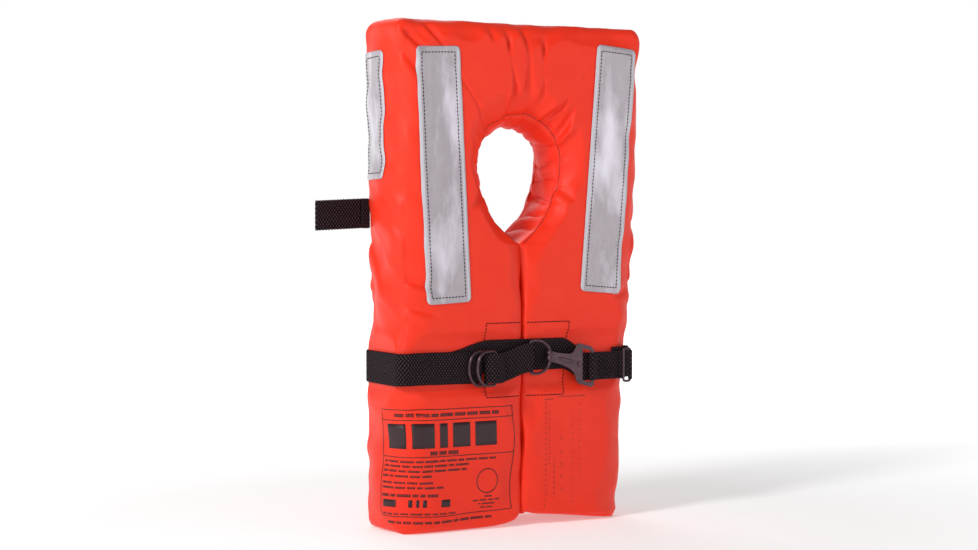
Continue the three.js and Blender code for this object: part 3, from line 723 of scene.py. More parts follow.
class Skin:
    """Finds places on the finished cover, in millimetres."""

    def __init__(self, cover):
        self.tree = BVHTree.FromPolygons(cover.points.tolist(), cover.faces.tolist())
        rows = [r for r in range(cover.nu // 2) if cover.inner[r, 1] <= HOLE_POINT_Z]
        grid = cover.points[: cover.loop_count].reshape(cover.nu, cover.ns, 3)
        self.rows = grid[rows][:, : cover.nv + cover.ng + 1]
        self.row_z = cover.inner[rows, 1]
        self.row_run = np.cumsum(
            np.linalg.norm(np.diff(self.rows, axis=1, prepend=self.rows[:, :1]), axis=2), axis=1
        )

    def hit(self, start, direction):
        place, normal, _, _ = self.tree.ray_cast(Vector(start), Vector(direction))
        return (np.array(place), np.array(normal)) if place else (None, None)

    def drop(self, points, direction, soften=3):
        """Drops a (n, m, 3) grid onto the cover along a direction, softened as a stiff sheet would be."""
        direction = np.array(direction, float)
        out = points.copy()
        far = points - direction * 90
        for i in range(points.shape[0]):
            for j in range(points.shape[1]):
                place, _ = self.hit(far[i, j], direction)
                if place is not None:
                    out[i, j] = place
        depth = (out - points) @ direction
        for _ in range(soften):
            padded = np.pad(depth, 1, mode="edge")
            around = padded[:-2, 1:-1] + padded[2:, 1:-1] + padded[1:-1, :-2] + padded[1:-1, 2:]
            depth = (around + 2 * depth) / 6
        return points + depth[..., None] * direction

    def wrapped(self, run, z):
        """The point at a distance run from the slit, round the left front, at height z."""
        row = np.interp(z, self.row_z, np.arange(len(self.row_z)))
        low = min(int(row), len(self.row_z) - 2)
        ends = [
            np.array([np.interp(run, self.row_run[k], self.rows[k, :, axis]) for axis in range(3)])
            for k in (low, low + 1)
        ]
        return ends[0] * (1 - (row - low)) + ends[1] * (row - low)


def grid_faces(rows, columns):
    index = np.arange(rows * columns).reshape(rows, columns)
    return np.stack([index[:-1, :-1], index[:-1, 1:], index[1:, 1:], index[1:, :-1]], axis=-1).reshape(-1, 4)


def grid_normals(grid):
    down = np.gradient(grid, axis=0)
    over = np.gradient(grid, axis=1)
    across = np.cross(over, down)
    return across / np.maximum(np.linalg.norm(across, axis=2), 1e-9)[..., None]


def closed_sheet(grid, lift, thickness):
    """Points and faces of a thin sheet that lies lift above a (n, m, 3) grid with outward normals."""
    rows, columns = grid.shape[:2]
    normal = grid_normals(grid)
    under = (grid + normal * lift).reshape(-1, 3)
    over = (grid + normal * (lift + np.broadcast_to(thickness, grid.shape[:2]))[..., None]).reshape(-1, 3)
    top = grid_faces(rows, columns)
    count = rows * columns
    index = np.arange(count).reshape(rows, columns)
    rim = np.r_[index[0], index[1:, -1], index[-1, -2::-1], index[-2:0:-1, 0]]
    after = np.roll(rim, -1)
    walls = np.stack([rim, after, after + count, rim + count], axis=-1)
    return np.vstack([under, over]), np.vstack([top[:, ::-1], top + count, walls])


def slab_from_grid(name, grid, lift, thickness):
    return mesh_object(name, *closed_sheet(grid, lift, thickness))


def set_uv(thing, coordinates):
    """Gives a mesh UVs from one (u, v) for each vertex."""
    mesh = thing.data
    layer = mesh.uv_layers.new(name="UVMap")
    corner = np.empty(len(mesh.loops), int)
    mesh.loops.foreach_get("vertex_index", corner)
    layer.data.foreach_set("uv", np.asarray(coordinates, float)[corner].ravel())


TAPE_WIDTH = 50
TAPE_CORNER = 5
TAPE_STEP = 2.5
STITCH_INSET = 6


def tape_grid(bottom, top, width=TAPE_WIDTH):
    """Flat points of a tape with rounded corners between two end midpoints, as (along, across) on a plane."""
    bottom, top = np.array(bottom, float), np.array(top, float)
    length = np.linalg.norm(top - bottom)
    along = (top - bottom) / length
    across = np.array([along[1], -along[0]])
    rows, columns = round(length / TAPE_STEP), round(width / TAPE_STEP)
    near = TAPE_CORNER * (1 - np.cos(np.linspace(0, math.pi / 2, 4)))[:-1]
    reach = np.r_[near, np.linspace(TAPE_CORNER, length - TAPE_CORNER, rows), (length - near)[::-1]]
    side = np.linspace(-0.5, 0.5, columns + 1)
    end = np.minimum(reach, length - reach)
    drop = np.sqrt(np.maximum(TAPE_CORNER**2 - (TAPE_CORNER - end) ** 2, 0))
    trim = np.where(end < TAPE_CORNER, TAPE_CORNER - drop, 0)
    spread = side[None, :] * (width - 2 * trim)[:, None]
    flat = bottom + reach[:, None, None] * along + spread[..., None] * across
    uv = np.stack([spread / width + 0.5, np.broadcast_to((reach / length)[:, None], spread.shape)], axis=-1)
    return flat, uv, length


def make_tapes(skin):
    surface = tape_material()
    thread = surfaces["thread"] = thread_material()
    plans = []
    for face, sign in (("front", -1), ("back", 1)):
        for side in ("left", "right"):
            low = box_mm(f"{face}_{side}_tape_lower")
            high = box_mm(f"{face}_{side}_tape_upper")
            plans.append((face, side, sign, low, high))
    for face, side, sign, low, high in plans:
        inward = 1 if side == "left" else -1
        edge = 0 if side == "left" else 1
        bottom_x = low[1 - edge][0] - inward * TAPE_WIDTH / 2
        top_x = high[edge][0] + inward * TAPE_WIDTH / 2
        flat, uv, length = tape_grid((bottom_x, low[0][2]), (top_x, high[1][2]))
        points = np.stack([flat[..., 0], np.full(flat.shape[:2], sign * HALF_DEPTH), flat[..., 1]], axis=-1)
        dropped = skin.drop(points, (0, -sign, 0))
        if sign > 0:
            dropped, uv = dropped[:, ::-1], uv[:, ::-1]
        name = f"{face}_{side}_tape"
        finish_tape(name, dropped, uv, length, surface, thread, ("vest", "collar"))
        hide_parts(f"{name}_lower", f"{name}_upper")
    for side, sign in (("left", -1), ("right", 1)):
        low, high = box_mm(f"{side}_side_tape")
        middle = (low[1] + high[1]) / 2
        flat, uv, length = tape_grid((middle, low[2]), (middle, high[2]))
        out = np.full(flat.shape[:2], sign * edge_at(sign, HEIGHT))
        points = np.stack([out, flat[..., 0], flat[..., 1]], axis=-1)
        dropped = skin.drop(points, (-sign, 0, 0))
        if sign < 0:
            dropped, uv = dropped[:, ::-1], uv[:, ::-1]
        name = f"{side}_side_strip"
        finish_tape(name, dropped, uv, length, surface, thread, ("collar",))
        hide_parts(f"{side}_side_tape")


def finish_tape(name, grid, uv, length, surface, thread, bodies):
    normal = grid_normals(grid)
    crinkle = waves(sum(map(ord, name)), grid.reshape(-1, 3), 17).reshape(grid.shape[:2])
    grid = grid + normal * (0.14 * crinkle)[..., None]
    tape = slab_from_grid(name, grid, 0.5, 0.5)
    set_uv(tape, np.vstack([uv.reshape(-1, 2), uv.reshape(-1, 2)]))
    tape.data.materials.append(surface)
    inset_u, inset_v = STITCH_INSET / TAPE_WIDTH, STITCH_INSET / length
    corners = [(inset_u, inset_v), (1 - inset_u, inset_v), (1 - inset_u, 1 - inset_v), (inset_u, 1 - inset_v)]
    path = []
    for (u0, v0), (u1, v1) in zip(corners, corners[1:] + corners[:1]):
        count = max(3, round(math.hypot((u1 - u0) * TAPE_WIDTH, (v1 - v0) * length) / 2))
        for t in np.linspace(0, 1, count, endpoint=False):
            path.append(on_grid(grid, normal, uv, u0 + (u1 - u0) * t, v0 + (v1 - v0) * t, 1.1))
    stitches = stitch_line(f"{name}_stitches", [np.array(path + path[:1])])
    stitches.data.materials.append(thread)
    for piece in (tape, stitches):
        if len(bodies) == 2:
            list(fold_span())
            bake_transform(piece)
        else:
            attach(piece, bodies[0])


def on_grid(grid, normal, uv, u, v, lift):
    """The point lift above a grid at tape coordinates (u, v)."""
    column_u = uv[len(uv) // 2, :, 0]
    row_v = uv[:, 0, 1]
    order = np.argsort(column_u)
    j = np.interp(u, column_u[order], order)
    i = np.interp(v, row_v, np.arange(len(row_v)))
    i0, j0 = min(int(i), len(row_v) - 2), min(int(j), len(column_u) - 2)
    fi, fj = i - i0, j - j0
    blend_of = lambda g: (
        (g[i0, j0] * (1 - fi) + g[i0 + 1, j0] * fi) * (1 - fj)
        + (g[i0, j0 + 1] * (1 - fi) + g[i0 + 1, j0 + 1] * fi) * fj
    )
    return blend_of(grid) + blend_of(normal) * lift


def stitch_line(name, paths, stitch=3.0, gap=0.7, width=1.1, height=0.55):
    """Separate thread stitches along 3-D paths, each a small closed bar with tapered ends."""
    points, faces = [], []
    for path in paths:
        total = np.linalg.norm(np.diff(path, axis=0), axis=1).sum()
        count = max(1, round(total / (stitch + gap)))
        fine = resample(path, count * 4)
        for k in range(count):
            part = fine[4 * k : 4 * k + 4]
            along = part[-1] - part[0]
            along = along / max(np.linalg.norm(along), 1e-9)
            side = np.cross(along, (0, 1, 0))
            if np.linalg.norm(side) < 0.1:
                side = np.cross(along, (1, 0, 0))
            side /= np.linalg.norm(side)
            up = np.cross(side, along)
            first = len(points)
            for point, size in zip(part, (0.35, 1, 1, 0.35)):
                for turn in range(6):
                    angle = turn * math.pi / 3
                    points.append(
                        point + side * math.cos(angle) * width / 2 * size
                        + up * math.sin(angle) * height / 2 * size
                    )
            for ring in range(3):
                for turn in range(6):
                    a, b = first + ring * 6 + turn, first + ring * 6 + (turn + 1) % 6
                    faces.append((a, b, b + 6, a + 6))
            faces.append(tuple(first + turn for turn in reversed(range(6))))
            faces.append(tuple(first + 18 + turn for turn in range(6)))
    return mesh_object(name, points, faces)


def tape_material():
    n = Nodes("reflective_tape")
    uv = n.add("ShaderNodeTexCoord").outputs["UV"]
    split = n.add("ShaderNodeSeparateXYZ")
    n.link(uv, split.inputs[0])
    edge = n.math("MINIMUM", split.outputs[0], n.math("SUBTRACT", 1.0, split.outputs[0]))
    border = n.math("LESS_THAN", edge, 0.075)
    streak = n.add("ShaderNodeMapping")
    streak.inputs["Scale"].default_value = (1.0, 1.0, 0.35)
    n.link(n.place(), streak.inputs[0])
    # The crinkle noise drives the bump and roughness, and its darker and lighter greys are painted shade and
    # painted highlight on the crinkles; the glint adds painted highlights.
    crinkle_and_shade = n.noise(95, 5, 0.65, streak.outputs[0])
    sheen = n.noise(26, 4, 0.6, streak.outputs[0])
    glint = n.math("MULTIPLY", n.math("MAXIMUM", n.math("SUBTRACT", sheen, 0.5), 0.0), 4.5)
    grain = n.noise(420, 2, 0.6)
    grey = n.mix(crinkle_and_shade, srgb(146, 137, 143), srgb(184, 176, 184))
    grey = n.mix(n.math("MULTIPLY", grain, 0.35), grey, srgb(128, 120, 128))
    grey = n.mix(glint, grey, srgb(216, 210, 222))
    grey = n.mix(border, grey, srgb(188, 186, 194))
    n.bump(n.math("ADD", crinkle_and_shade, n.math("MULTIPLY", grain, 0.3)), 0.0006, 0.6)
    n.set(Base_Color=grey, Roughness=n.math("ADD", n.math("MULTIPLY", crinkle_and_shade, 0.2), 0.22), Metallic=0.15)
    n.set(Coat_Weight=0.5, Coat_Roughness=0.12)
    return n.material


def thread_material():
    n = Nodes("black_thread")
    twist = n.noise(900, 2)
    n.set(Base_Color=n.mix(twist, srgb(8, 5, 7), srgb(24, 16, 19)), Roughness=0.8, Specular_IOR_Level=0.2)
    return n.material


def foam_material():
    n = Nodes("foam")
    cells = n.noise(500, 3)
    n.bump(cells, 0.0004, 0.5)
    n.set(Base_Color=n.mix(cells, srgb(222, 214, 196), srgb(240, 234, 220)), Roughness=0.9)
    return n.material


def open_hole(vertex):
    """Moves a pad's corner by the head hole away from the hole's middle, clear of the gathered gusset."""
    x, _, z = (np.array(vertex.co) - ORIGIN) / MM
    out_x, out_z = x - HOLE_X, z - HOLE_CENTRE_Z
    if abs(out_x) > HOLE_HALF_WIDTH + 16 or z < HOLE_POINT_Z - 16 or out_z > HOLE_RISE + 16:
        return
    vertex.co.x += out_x * (FOAM_HOLE_GROWTH - 1) * MM
    if abs(z - FOLD_Z) > 2 * FOAM_INSET:
        vertex.co.z += out_z * (FOAM_HOLE_GROWTH - 1) * MM


def lift_foot(vertex):
    """Keeps the right half's pads above the cover's foot where that is raised."""
    x, _, z = (np.array(vertex.co) - ORIGIN) / MM
    vertex.co.z += float(foot_rise(x, z)) * MM


def make_foam():
    """Each pad is its CAD solid drawn in from the cover, with rounded edges."""
    surface = foam_material()
    for node_name, node in list(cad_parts.items()):
        if "_foam_" not in node_name:
            continue
        shell = bmesh.new()
        shell.from_mesh(node.data)
        bmesh.ops.remove_doubles(shell, verts=shell.verts, dist=1e-5)
        bmesh.ops.recalc_face_normals(shell, faces=shell.faces)
        shell.normal_update()
        moves = [v.normal * v.calc_shell_factor() * -FOAM_INSET * MM for v in shell.verts]
        for vertex, move in zip(shell.verts, moves):
            vertex.co += move
            open_hole(vertex)
            lift_foot(vertex)
        mesh = bpy.data.meshes.new(f"{node_name}_pad")
        shell.to_mesh(mesh)
        shell.free()
        pad = bpy.data.objects.new(f"{node_name}_pad", mesh)
        scene.collection.objects.link(pad)
        bevel = pad.modifiers.new("round", "BEVEL")
        bevel.width = 3 * MM
        bevel.segments = 2
        bevel.limit_method = "ANGLE"
        mesh.materials.append(surface)
        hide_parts(node_name)
        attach(pad, "collar" if node_name.startswith("collar") else "vest")


PATCH_INSET = 10
PATCH_DEPTH = 5


def make_patches():
    """The heavy cloth behind the stitched box, drawn in from the slit and pressed against the pad."""
    n = Nodes("patch_cloth")
    weave = n.noise(700, 2)
    n.bump(weave, 0.0003, 0.5)
    n.set(Base_Color=n.mix(weave, srgb(120, 48, 36), srgb(150, 66, 50)), Roughness=0.85)
    for side, sign in (("left", -1), ("right", 1)):
        node = f"{side}_reinforcement_patch"
        low, high = box_mm(node)
        across = np.linspace(low[0], high[0], 12)
        across = across + sign * PATCH_INSET * (1 - np.abs(across) / max(abs(low[0]), abs(high[0])))
        up = np.linspace(low[2], high[2], 16)
        z, x = np.meshgrid(up, across, indexing="ij")
        y = np.full_like(x, low[1] + PATCH_DEPTH) + 0.3 * np.sin(x / 6) * np.sin(z / 9)
        patch = slab_from_grid(f"{side}_patch", np.stack([x, y, z], axis=-1), 0, 0.8)
        patch.data.materials.append(n.material)
        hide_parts(node)
        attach(patch, "vest")


# ---------- webbing ----------

TAIL_RISE = 11
HOOK_BAND_WIDTH = 28.5
SLIDE_BAND_WIDTH = 30.4
RING_BAND_WIDTH = 30
HOOK_BAND_THICKNESS = 0.7
THIN_WEBBING = 0.8
FREE_END_THICKNESS = 1.0
FOLD_STAND = 1.5
FOLD_START = 37
BACKING_STAND = 4.6
BACKING_REACH = 17
WEAVE_PITCH = 3.3
WEAVE_ROW = 4.6
WEAVE_HEIGHT = 0.32
WEBBING = 1.5
LOOP_WALL = 1.2
BELT_CORNER = 10


def bend(cx, cy, radius, start, stop, steps=10):
    """Points on an arc in plan, angles in degrees."""
    angle = np.radians(np.linspace(start, stop, steps + 1))
    return np.column_stack([cx + radius * np.cos(angle), cy + radius * np.sin(angle)]).tolist()


def strap(name, plan, width, body, nodes, centre_z=None, thickness=WEBBING, wide=(0, 0, 1), step=0.65):
    """Webbing along a path in plan, or along full points, with a raised weave on its outer side.

    Outward is to the right of the path's direction. centre_z gives the strap's middle height at each x."""
    path = np.asarray(plan, float)
    if path.shape[1] == 2:
        path = np.column_stack([path, np.zeros(len(path))])
    length = np.linalg.norm(np.diff(path, axis=0), axis=1).sum()
    path = resample(path, max(8, round(length / step)))
    for _ in range(3):
        path[1:-1] = (path[:-2] + 2 * path[1:-1] + path[2:]) / 4
    if centre_z is not None:
        path[:, 2] = centre_z(path[:, 0])
    along = np.linspace(0, length, len(path))
    share = np.linspace(-0.5, 0.5, max(6, round(width / 0.9)) + 1)
    frill = 0.3 * np.cos(2 * math.pi * along / WEAVE_PITCH)
    reach = share[:, None] * width + np.sign(share)[:, None] * (np.abs(share)[:, None] > 0.49) * frill
    grid = path[None] + reach[..., None] * np.array(wide, float)
    weave = np.cos(2 * math.pi * along / WEAVE_PITCH)[None]
    weave = weave * np.cos(2 * math.pi * share * width / WEAVE_ROW)[:, None]
    edge = np.clip((0.5 - np.abs(share)) * width / 1.4, 0, 1)[:, None]
    relief = WEAVE_HEIGHT * weave * edge - 0.35 * (1 - edge)
    piece = slab_from_grid(name, grid, 0, thickness + relief)
    uv = np.stack(np.broadcast_arrays(along[None], (share * width)[:, None]), axis=-1).reshape(-1, 2)
    set_uv(piece, np.vstack([uv, uv]))
    piece.data.materials.append(surfaces["webbing"])
    if nodes:
        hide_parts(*nodes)
    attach(piece, body)
    return piece


def webbing_material():
    n = Nodes("black_webbing")
    split = n.add("ShaderNodeSeparateXYZ")
    n.link(n.add("ShaderNodeTexCoord").outputs["UV"], split.inputs[0])
    turn = lambda output, pitch: n.math("COSINE", n.math("MULTIPLY", output, 2 * math.pi / pitch))
    weave = n.math("MULTIPLY", turn(split.outputs[0], WEAVE_PITCH), turn(split.outputs[1], WEAVE_ROW))
    rib = turn(n.math("ADD", split.outputs[0], split.outputs[1]), 0.65)
    # The raised crossings of the weave are painted lighter: a painted highlight on the tops of the yarns.
    raised = n.math("MAXIMUM", weave, 0.0)
    fuzz = n.noise(650, 3)
    colour = n.mix(n.math("MULTIPLY", raised, fuzz), srgb(15, 7, 10), srgb(112, 90, 98))
    n.bump(n.math("ADD", n.math("MULTIPLY", rib, 0.4), fuzz), 0.0003, 0.7)
    n.set(Base_Color=colour, Roughness=0.75, Specular_IOR_Level=0.12)
    return n.material


def make_webbing():
    surfaces["webbing"] = webbing_material()
    low, high = box_mm("main_belt")
    middle = (low[2] + high[2]) / 2
    width = high[2] - low[2]
    clear = WEBBING + 0.3
    left, right = low[0] + clear, high[0] - clear
    front, back = low[1] + clear, high[1] - clear
    tail_low, tail_high = box_mm("belt_tail")
    tail_y = tail_high[1]
    radius = BELT_CORNER
    inner, outer = box_mm("d_ring_inner"), box_mm("d_ring_outer")
    wire = (inner[1][1] - inner[0][1]) / 2
    hold = wire + 0.4
    belt_path = [
        [tail_high[0] + 38, tail_y],
        *bend(right - radius, tail_y + radius, radius, -90, 0),
        *bend(right - radius, back - radius, radius, 0, 90),
        *bend(left + radius, back - radius, radius, 90, 180),
        *bend(left - LEFT_FLARE + radius, front + radius, radius, 180, 270),
        [inner[1][0] - wire - hold - LOOP_WALL - 0.8, front],
    ]
    strap("belt", belt_path, width, "vest", ["main_belt"], lambda x: middle + 0.5 * np.sin(x / 23))

    def tail_z(x):
        return middle + TAIL_RISE * smooth((x + 92) / 52) * smooth((72 - x) / 26)

    free_end = [[tail_low[0], tail_y], [tail_high[0], tail_y]]
    strap("belt_free_end", free_end, width, "belt_tail", ["belt_tail"], tail_z, thickness=FREE_END_THICKNESS)

    hook_ring = box_mm("hook_ring")
    bar = [inner[1][0] - wire, (inner[0][1] + inner[1][1]) / 2]
    bar_out = [outer[1][0] - wire, (outer[0][1] + outer[1][1]) / 2]
    end = [hook_ring[0][0] + wire, (hook_ring[0][1] + hook_ring[1][1]) / 2]
    flat_back, flat_front = end[1] + 0.5, end[1] - 0.5
    ring_path = [
        [bar_out[0] + 12, flat_front],
        [end[0] - 5, flat_front],
        *bend(end[0], end[1], hold, -115, 115, 14),
        [end[0] - 5, flat_back],
        [bar_out[0] + 12, flat_back],
        [bar_out[0] + 6, bar[1] + hold],
        *bend(bar[0], bar[1], hold, 90, 190, 8),
        *bend(bar_out[0] - 3, bar_out[1], hold + 0.4, 215, 270, 6),
        [bar_out[0] + 4, bar_out[1] - hold - 0.4],
        [bar_out[0] + 12, flat_front],
    ]
    d_mid = (inner[0][2] + inner[1][2]) / 2
    hook_mid = (hook_ring[0][2] + hook_ring[1][2]) / 2
    strap(
        "ring_band", ring_path, RING_BAND_WIDTH, "vest", ["ring_strap"],
        lambda x: d_mid + (hook_mid - d_mid) * smooth((x - bar_out[0] - 4) / (end[0] - bar_out[0] - 4)),
        thickness=LOOP_WALL,
    )

    eye = box_mm("snap_hook_body")
    band_low, band_high = box_mm("hook_strap")
    band_mid = (band_low[2] + band_high[2]) / 2
    plate_y = eye[0][1] + HOOK_THICKNESS / 2
    bar_x = eye[1][0] - EYE_BAR / 2
    front_layer = band_high[1] - 1.1 - LOOP_WALL
    back_layer = band_high[1] - LOOP_WALL
    hook_path = [
        [bar_x + 11, front_layer],
        [band_high[0] - 1.5, front_layer],
        *bend(band_high[0] - 1.5, band_high[1] - 1.7, 0.6, -90, 90, 6),
        [bar_x + 10, back_layer],
        *bend(bar_x, plate_y, EYE_BAR / 2 + 0.5, 75, 285, 12),
        [bar_x + 11, front_layer],
    ]
    strap(
        "hook_band", hook_path, HOOK_BAND_WIDTH, "vest", ["hook_strap"], lambda x: np.full_like(x, band_mid),
        thickness=HOOK_BAND_THICKNESS,
    )
    behind = plate_y + BACKING_STAND
    strap(
        "hook_band_under", [[eye[1][0] - BACKING_REACH, behind], [bar_x + 2, behind]], HOOK_BAND_WIDTH,
        "vest", [], lambda x: np.full_like(x, band_mid), thickness=THIN_WEBBING,
    )
    slide_low, slide_high = box_mm("belt_slide")
    fold_y = front_layer - FOLD_STAND
    strap(
        "hook_band_fold", [[bar_x + FOLD_START, fold_y], [slide_low[0] + 3, fold_y]], HOOK_BAND_WIDTH,
        "slide", [], lambda x: np.full_like(x, band_mid), thickness=THIN_WEBBING,
    )
    slide_mid = (slide_low[2] + slide_high[2]) / 2
    slide_y = (slide_low[1] + slide_high[1]) / 2
    wire = (slide_high[1] - slide_low[1]) / 2
    strap(
        "slide_band", bend(slide_high[0] - wire, slide_y - 0.3, wire + 0.3, -180, 178, 24), SLIDE_BAND_WIDTH,
        "slide", ["slide_loop"], lambda x: np.full_like(x, slide_mid), thickness=THIN_WEBBING,
    )

    for side in ("left", "right"):
        make_keeper(f"{side}_belt_keeper")
    make_light_tab()


def make_keeper(node):
    """A strip over the belt on the back panel, sewn down above and below."""
    low, high = box_mm(node)
    skin_y, over_y = low[1] + 0.1, high[1] - WEBBING + 0.2
    belt_low, belt_high = box_mm("main_belt")[0][2], box_mm("main_belt")[1][2]
    profile = [
        (high[2], skin_y), (belt_high + 3, skin_y), (belt_high + 0.5, over_y),
        (belt_low - 0.5, over_y), (belt_low - 3, skin_y), (low[2], skin_y),
    ]
    middle = (low[0] + high[0]) / 2
    path = [[middle, y, z] for z, y in profile]
    strap(f"{node}_band", path, high[0] - low[0], "vest", [node], thickness=WEBBING - 0.3, wide=(1, 0, 0))


def make_light_tab():
    """Doubled webbing that leaves the left edge, open enough at its end to take a clip."""
    low, high = box_mm("light_tab")
    y = (low[1] + high[1]) / 2
    half = (high[1] - low[1]) / 2 - 0.7
    middle = (low[2] + high[2]) / 2
    path = [
        *bend(low[0] + half + 0.7, y, half, 90, 270, 10),
        *bend(high[0] - half - 0.7, y, half, -90, 90, 10),
        [low[0] + half + 0.7, y + half],
    ]
    droop = lambda x: middle - 0.045 * (high[0] - x)
    strap("light_tab_band", path, high[2] - low[2], "light_tab", ["light_tab"], droop, thickness=0.7)
    low, high = box_mm("light_tab_stub")
    stub = [[low[0], low[1] + 1.2], [high[0] + 3, low[1] + 1.2]]
    back = [[high[0] + 3, high[1] - 1.2], [low[0], high[1] - 1.2]]
    plans = (("light_tab_stub_front", stub, ["light_tab_stub"]), ("light_tab_stub_back", back, []))
    for name, path, nodes in plans:
        strap(name, path, high[2] - low[2], "vest", nodes, lambda x: np.full_like(x, middle), thickness=1.0)


# ---------- metal ----------

HOOK_THICKNESS = 1.6
EYE_BAR = 4
NOSE_RADIUS = 3.8
LOBE = {"offset": 2.7, "wide": 2.5, "thick": 1.35}


def sweep(path, normal, radius, sides=14, closed=False, scale=None):
    """Points and faces of a bar along a flat path. radius is (in the path's plane, along its normal)."""
    path = np.asarray(path, float)
    normal = np.asarray(normal, float)
    if closed:
        along = np.roll(path, -1, axis=0) - np.roll(path, 1, axis=0)
    else:
        along = np.gradient(path, axis=0)
    along /= np.linalg.norm(along, axis=1)[:, None]
    across = np.cross(along, normal)
    scale = np.ones(len(path)) if scale is None else scale
    angle = np.linspace(0, 2 * math.pi, sides, endpoint=False)
    ring = across[:, None] * (np.cos(angle) * radius[0])[None, :, None]
    ring = ring + normal * (np.sin(angle) * radius[1])[None, :, None]
    points = (path[:, None] + ring * scale[:, None, None]).reshape(-1, 3)
    count = len(path)
    faces = []
    for i in range(count if closed else count - 1):
        for j in range(sides):
            a, b = i * sides + j, i * sides + (j + 1) % sides
            c, d = (i + 1) % count * sides + (j + 1) % sides, (i + 1) % count * sides + j
            faces.append((a, b, c, d))
    if not closed:
        faces.append(tuple(reversed(range(sides))))
        faces.append(tuple((count - 1) * sides + j for j in range(sides)))
    return points, faces


def join_shapes(shapes):
    """One list of points and faces from several."""
    points, faces = [], []
    for part_points, part_faces in shapes:
        first = sum(len(p) for p in points)
        points.append(np.asarray(part_points))
        faces += [tuple(i + first for i in face) for face in part_faces]
    return np.vstack(points), faces


def metal_piece(name, shapes, body, nodes):
    piece = mesh_object(name, *join_shapes(shapes))
    shell = bmesh.new()
    shell.from_mesh(piece.data)
    bmesh.ops.recalc_face_normals(shell, faces=shell.faces)
    shell.to_mesh(piece.data)
    shell.free()
    piece.data.materials.append(surfaces["metal"])
    if nodes:
        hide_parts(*nodes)
    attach(piece, body)
    return piece


def metal_material():
    n = Nodes("dark_bronze")
    mottle = n.noise(180, 4, 0.6)
    wear = n.noise(60, 3)
    colour = n.mix(mottle, srgb(62, 46, 52), srgb(98, 78, 84))
    n.bump(mottle, 0.0002, 0.25)
    n.set(Base_Color=colour, Metallic=0.85, Roughness=n.math("ADD", n.math("MULTIPLY", wear, 0.22), 0.2))
    return n.material


def d_outline(reach, half_height, straight, corner):
    """A D in (x, z): a straight bar at x = 0, short level runs, and a round end at x = -reach."""
    turn = lambda cx, cz, start, stop: [
        (cx + corner * math.cos(t), cz + corner * math.sin(t))
        for t in np.radians(np.linspace(start, stop, 8))
    ]
    level = straight * reach
    round_end = [
        (-level + (reach - level) * math.cos(t), half_height * math.sin(t))
        for t in np.radians(np.linspace(90, 270, 40))
    ]
    upper, lower = turn(-corner, half_height - corner, 0, 90), turn(-corner, corner - half_height, 270, 360)
    return np.array([*upper, *round_end, *lower])


def make_ring(node, body, straight, side=-1):
    low, high = box_mm(node)
    wire = (high[1] - low[1]) / 2
    reach, half = high[0] - low[0] - 2 * wire, (high[2] - low[2]) / 2 - wire
    outline_xz = resample(np.vstack([d_outline(reach, half, straight, 3), [[0, half - 3]]]), 110)[:-1]
    bar_x = high[0] - wire if side < 0 else low[0] + wire
    path = np.column_stack([
        bar_x - side * outline_xz[:, 0],
        np.full(len(outline_xz), (low[1] + high[1]) / 2),
        (low[2] + high[2]) / 2 + outline_xz[:, 1],
    ])
    metal_piece(f"{node}_wire", [sweep(path, (0, 1, 0), (wire, wire), closed=True)], body, [node])


def make_slide():
    low, high = box_mm("belt_slide")
    wire = (high[1] - low[1]) / 2
    half_x, half_z = (high[0] - low[0]) / 2 - wire, (high[2] - low[2]) / 2 - wire
    corner = 2.2
    path = []
    for cx, cz, start in ((1, 1, 0), (-1, 1, 90), (-1, -1, 180), (1, -1, 270)):
        for t in np.radians(np.linspace(start, start + 90, 8)):
            x = cx * (half_x - corner) + corner * math.cos(t)
            path.append((x, 0, cz * (half_z - corner) + corner * math.sin(t)))
    middle = (np.array(low) + np.array(high)) / 2
    slide_wire = sweep(np.array(path) + middle, (0, 1, 0), (wire, wire), closed=True)
    metal_piece("slide_wire", [slide_wire], "slide", ["belt_slide"])


def polished(node, name, body, shapes=()):
    """The CAD piece with its flats kept and its edges rounded, and the stamped details added."""
    shell = bmesh.new()
    shell.from_mesh(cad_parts[node].data)
    bmesh.ops.remove_doubles(shell, verts=shell.verts, dist=1e-5)
    bmesh.ops.recalc_face_normals(shell, faces=shell.faces)
    bmesh.ops.dissolve_limit(shell, angle_limit=math.radians(3), verts=shell.verts, edges=shell.edges)
    for face in shell.faces:
        face.smooth = True
    mesh = bpy.data.meshes.new(name)
    shell.to_mesh(mesh)
    shell.free()
    piece = bpy.data.objects.new(name, mesh)
    scene.collection.objects.link(piece)
    mesh.materials.append(surfaces["metal"])
    bevel = piece.modifiers.new("round", "BEVEL")
    bevel.width = 0.28 * MM
    bevel.segments = 2
    bevel.limit_method = "ANGLE"
    bevel.angle_limit = math.radians(40)
    piece.modifiers.new("even", "WEIGHTED_NORMAL")
    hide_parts(node)
    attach(piece, body)
    if shapes:
        metal_piece(f"{name}_stamping", shapes, body, [])


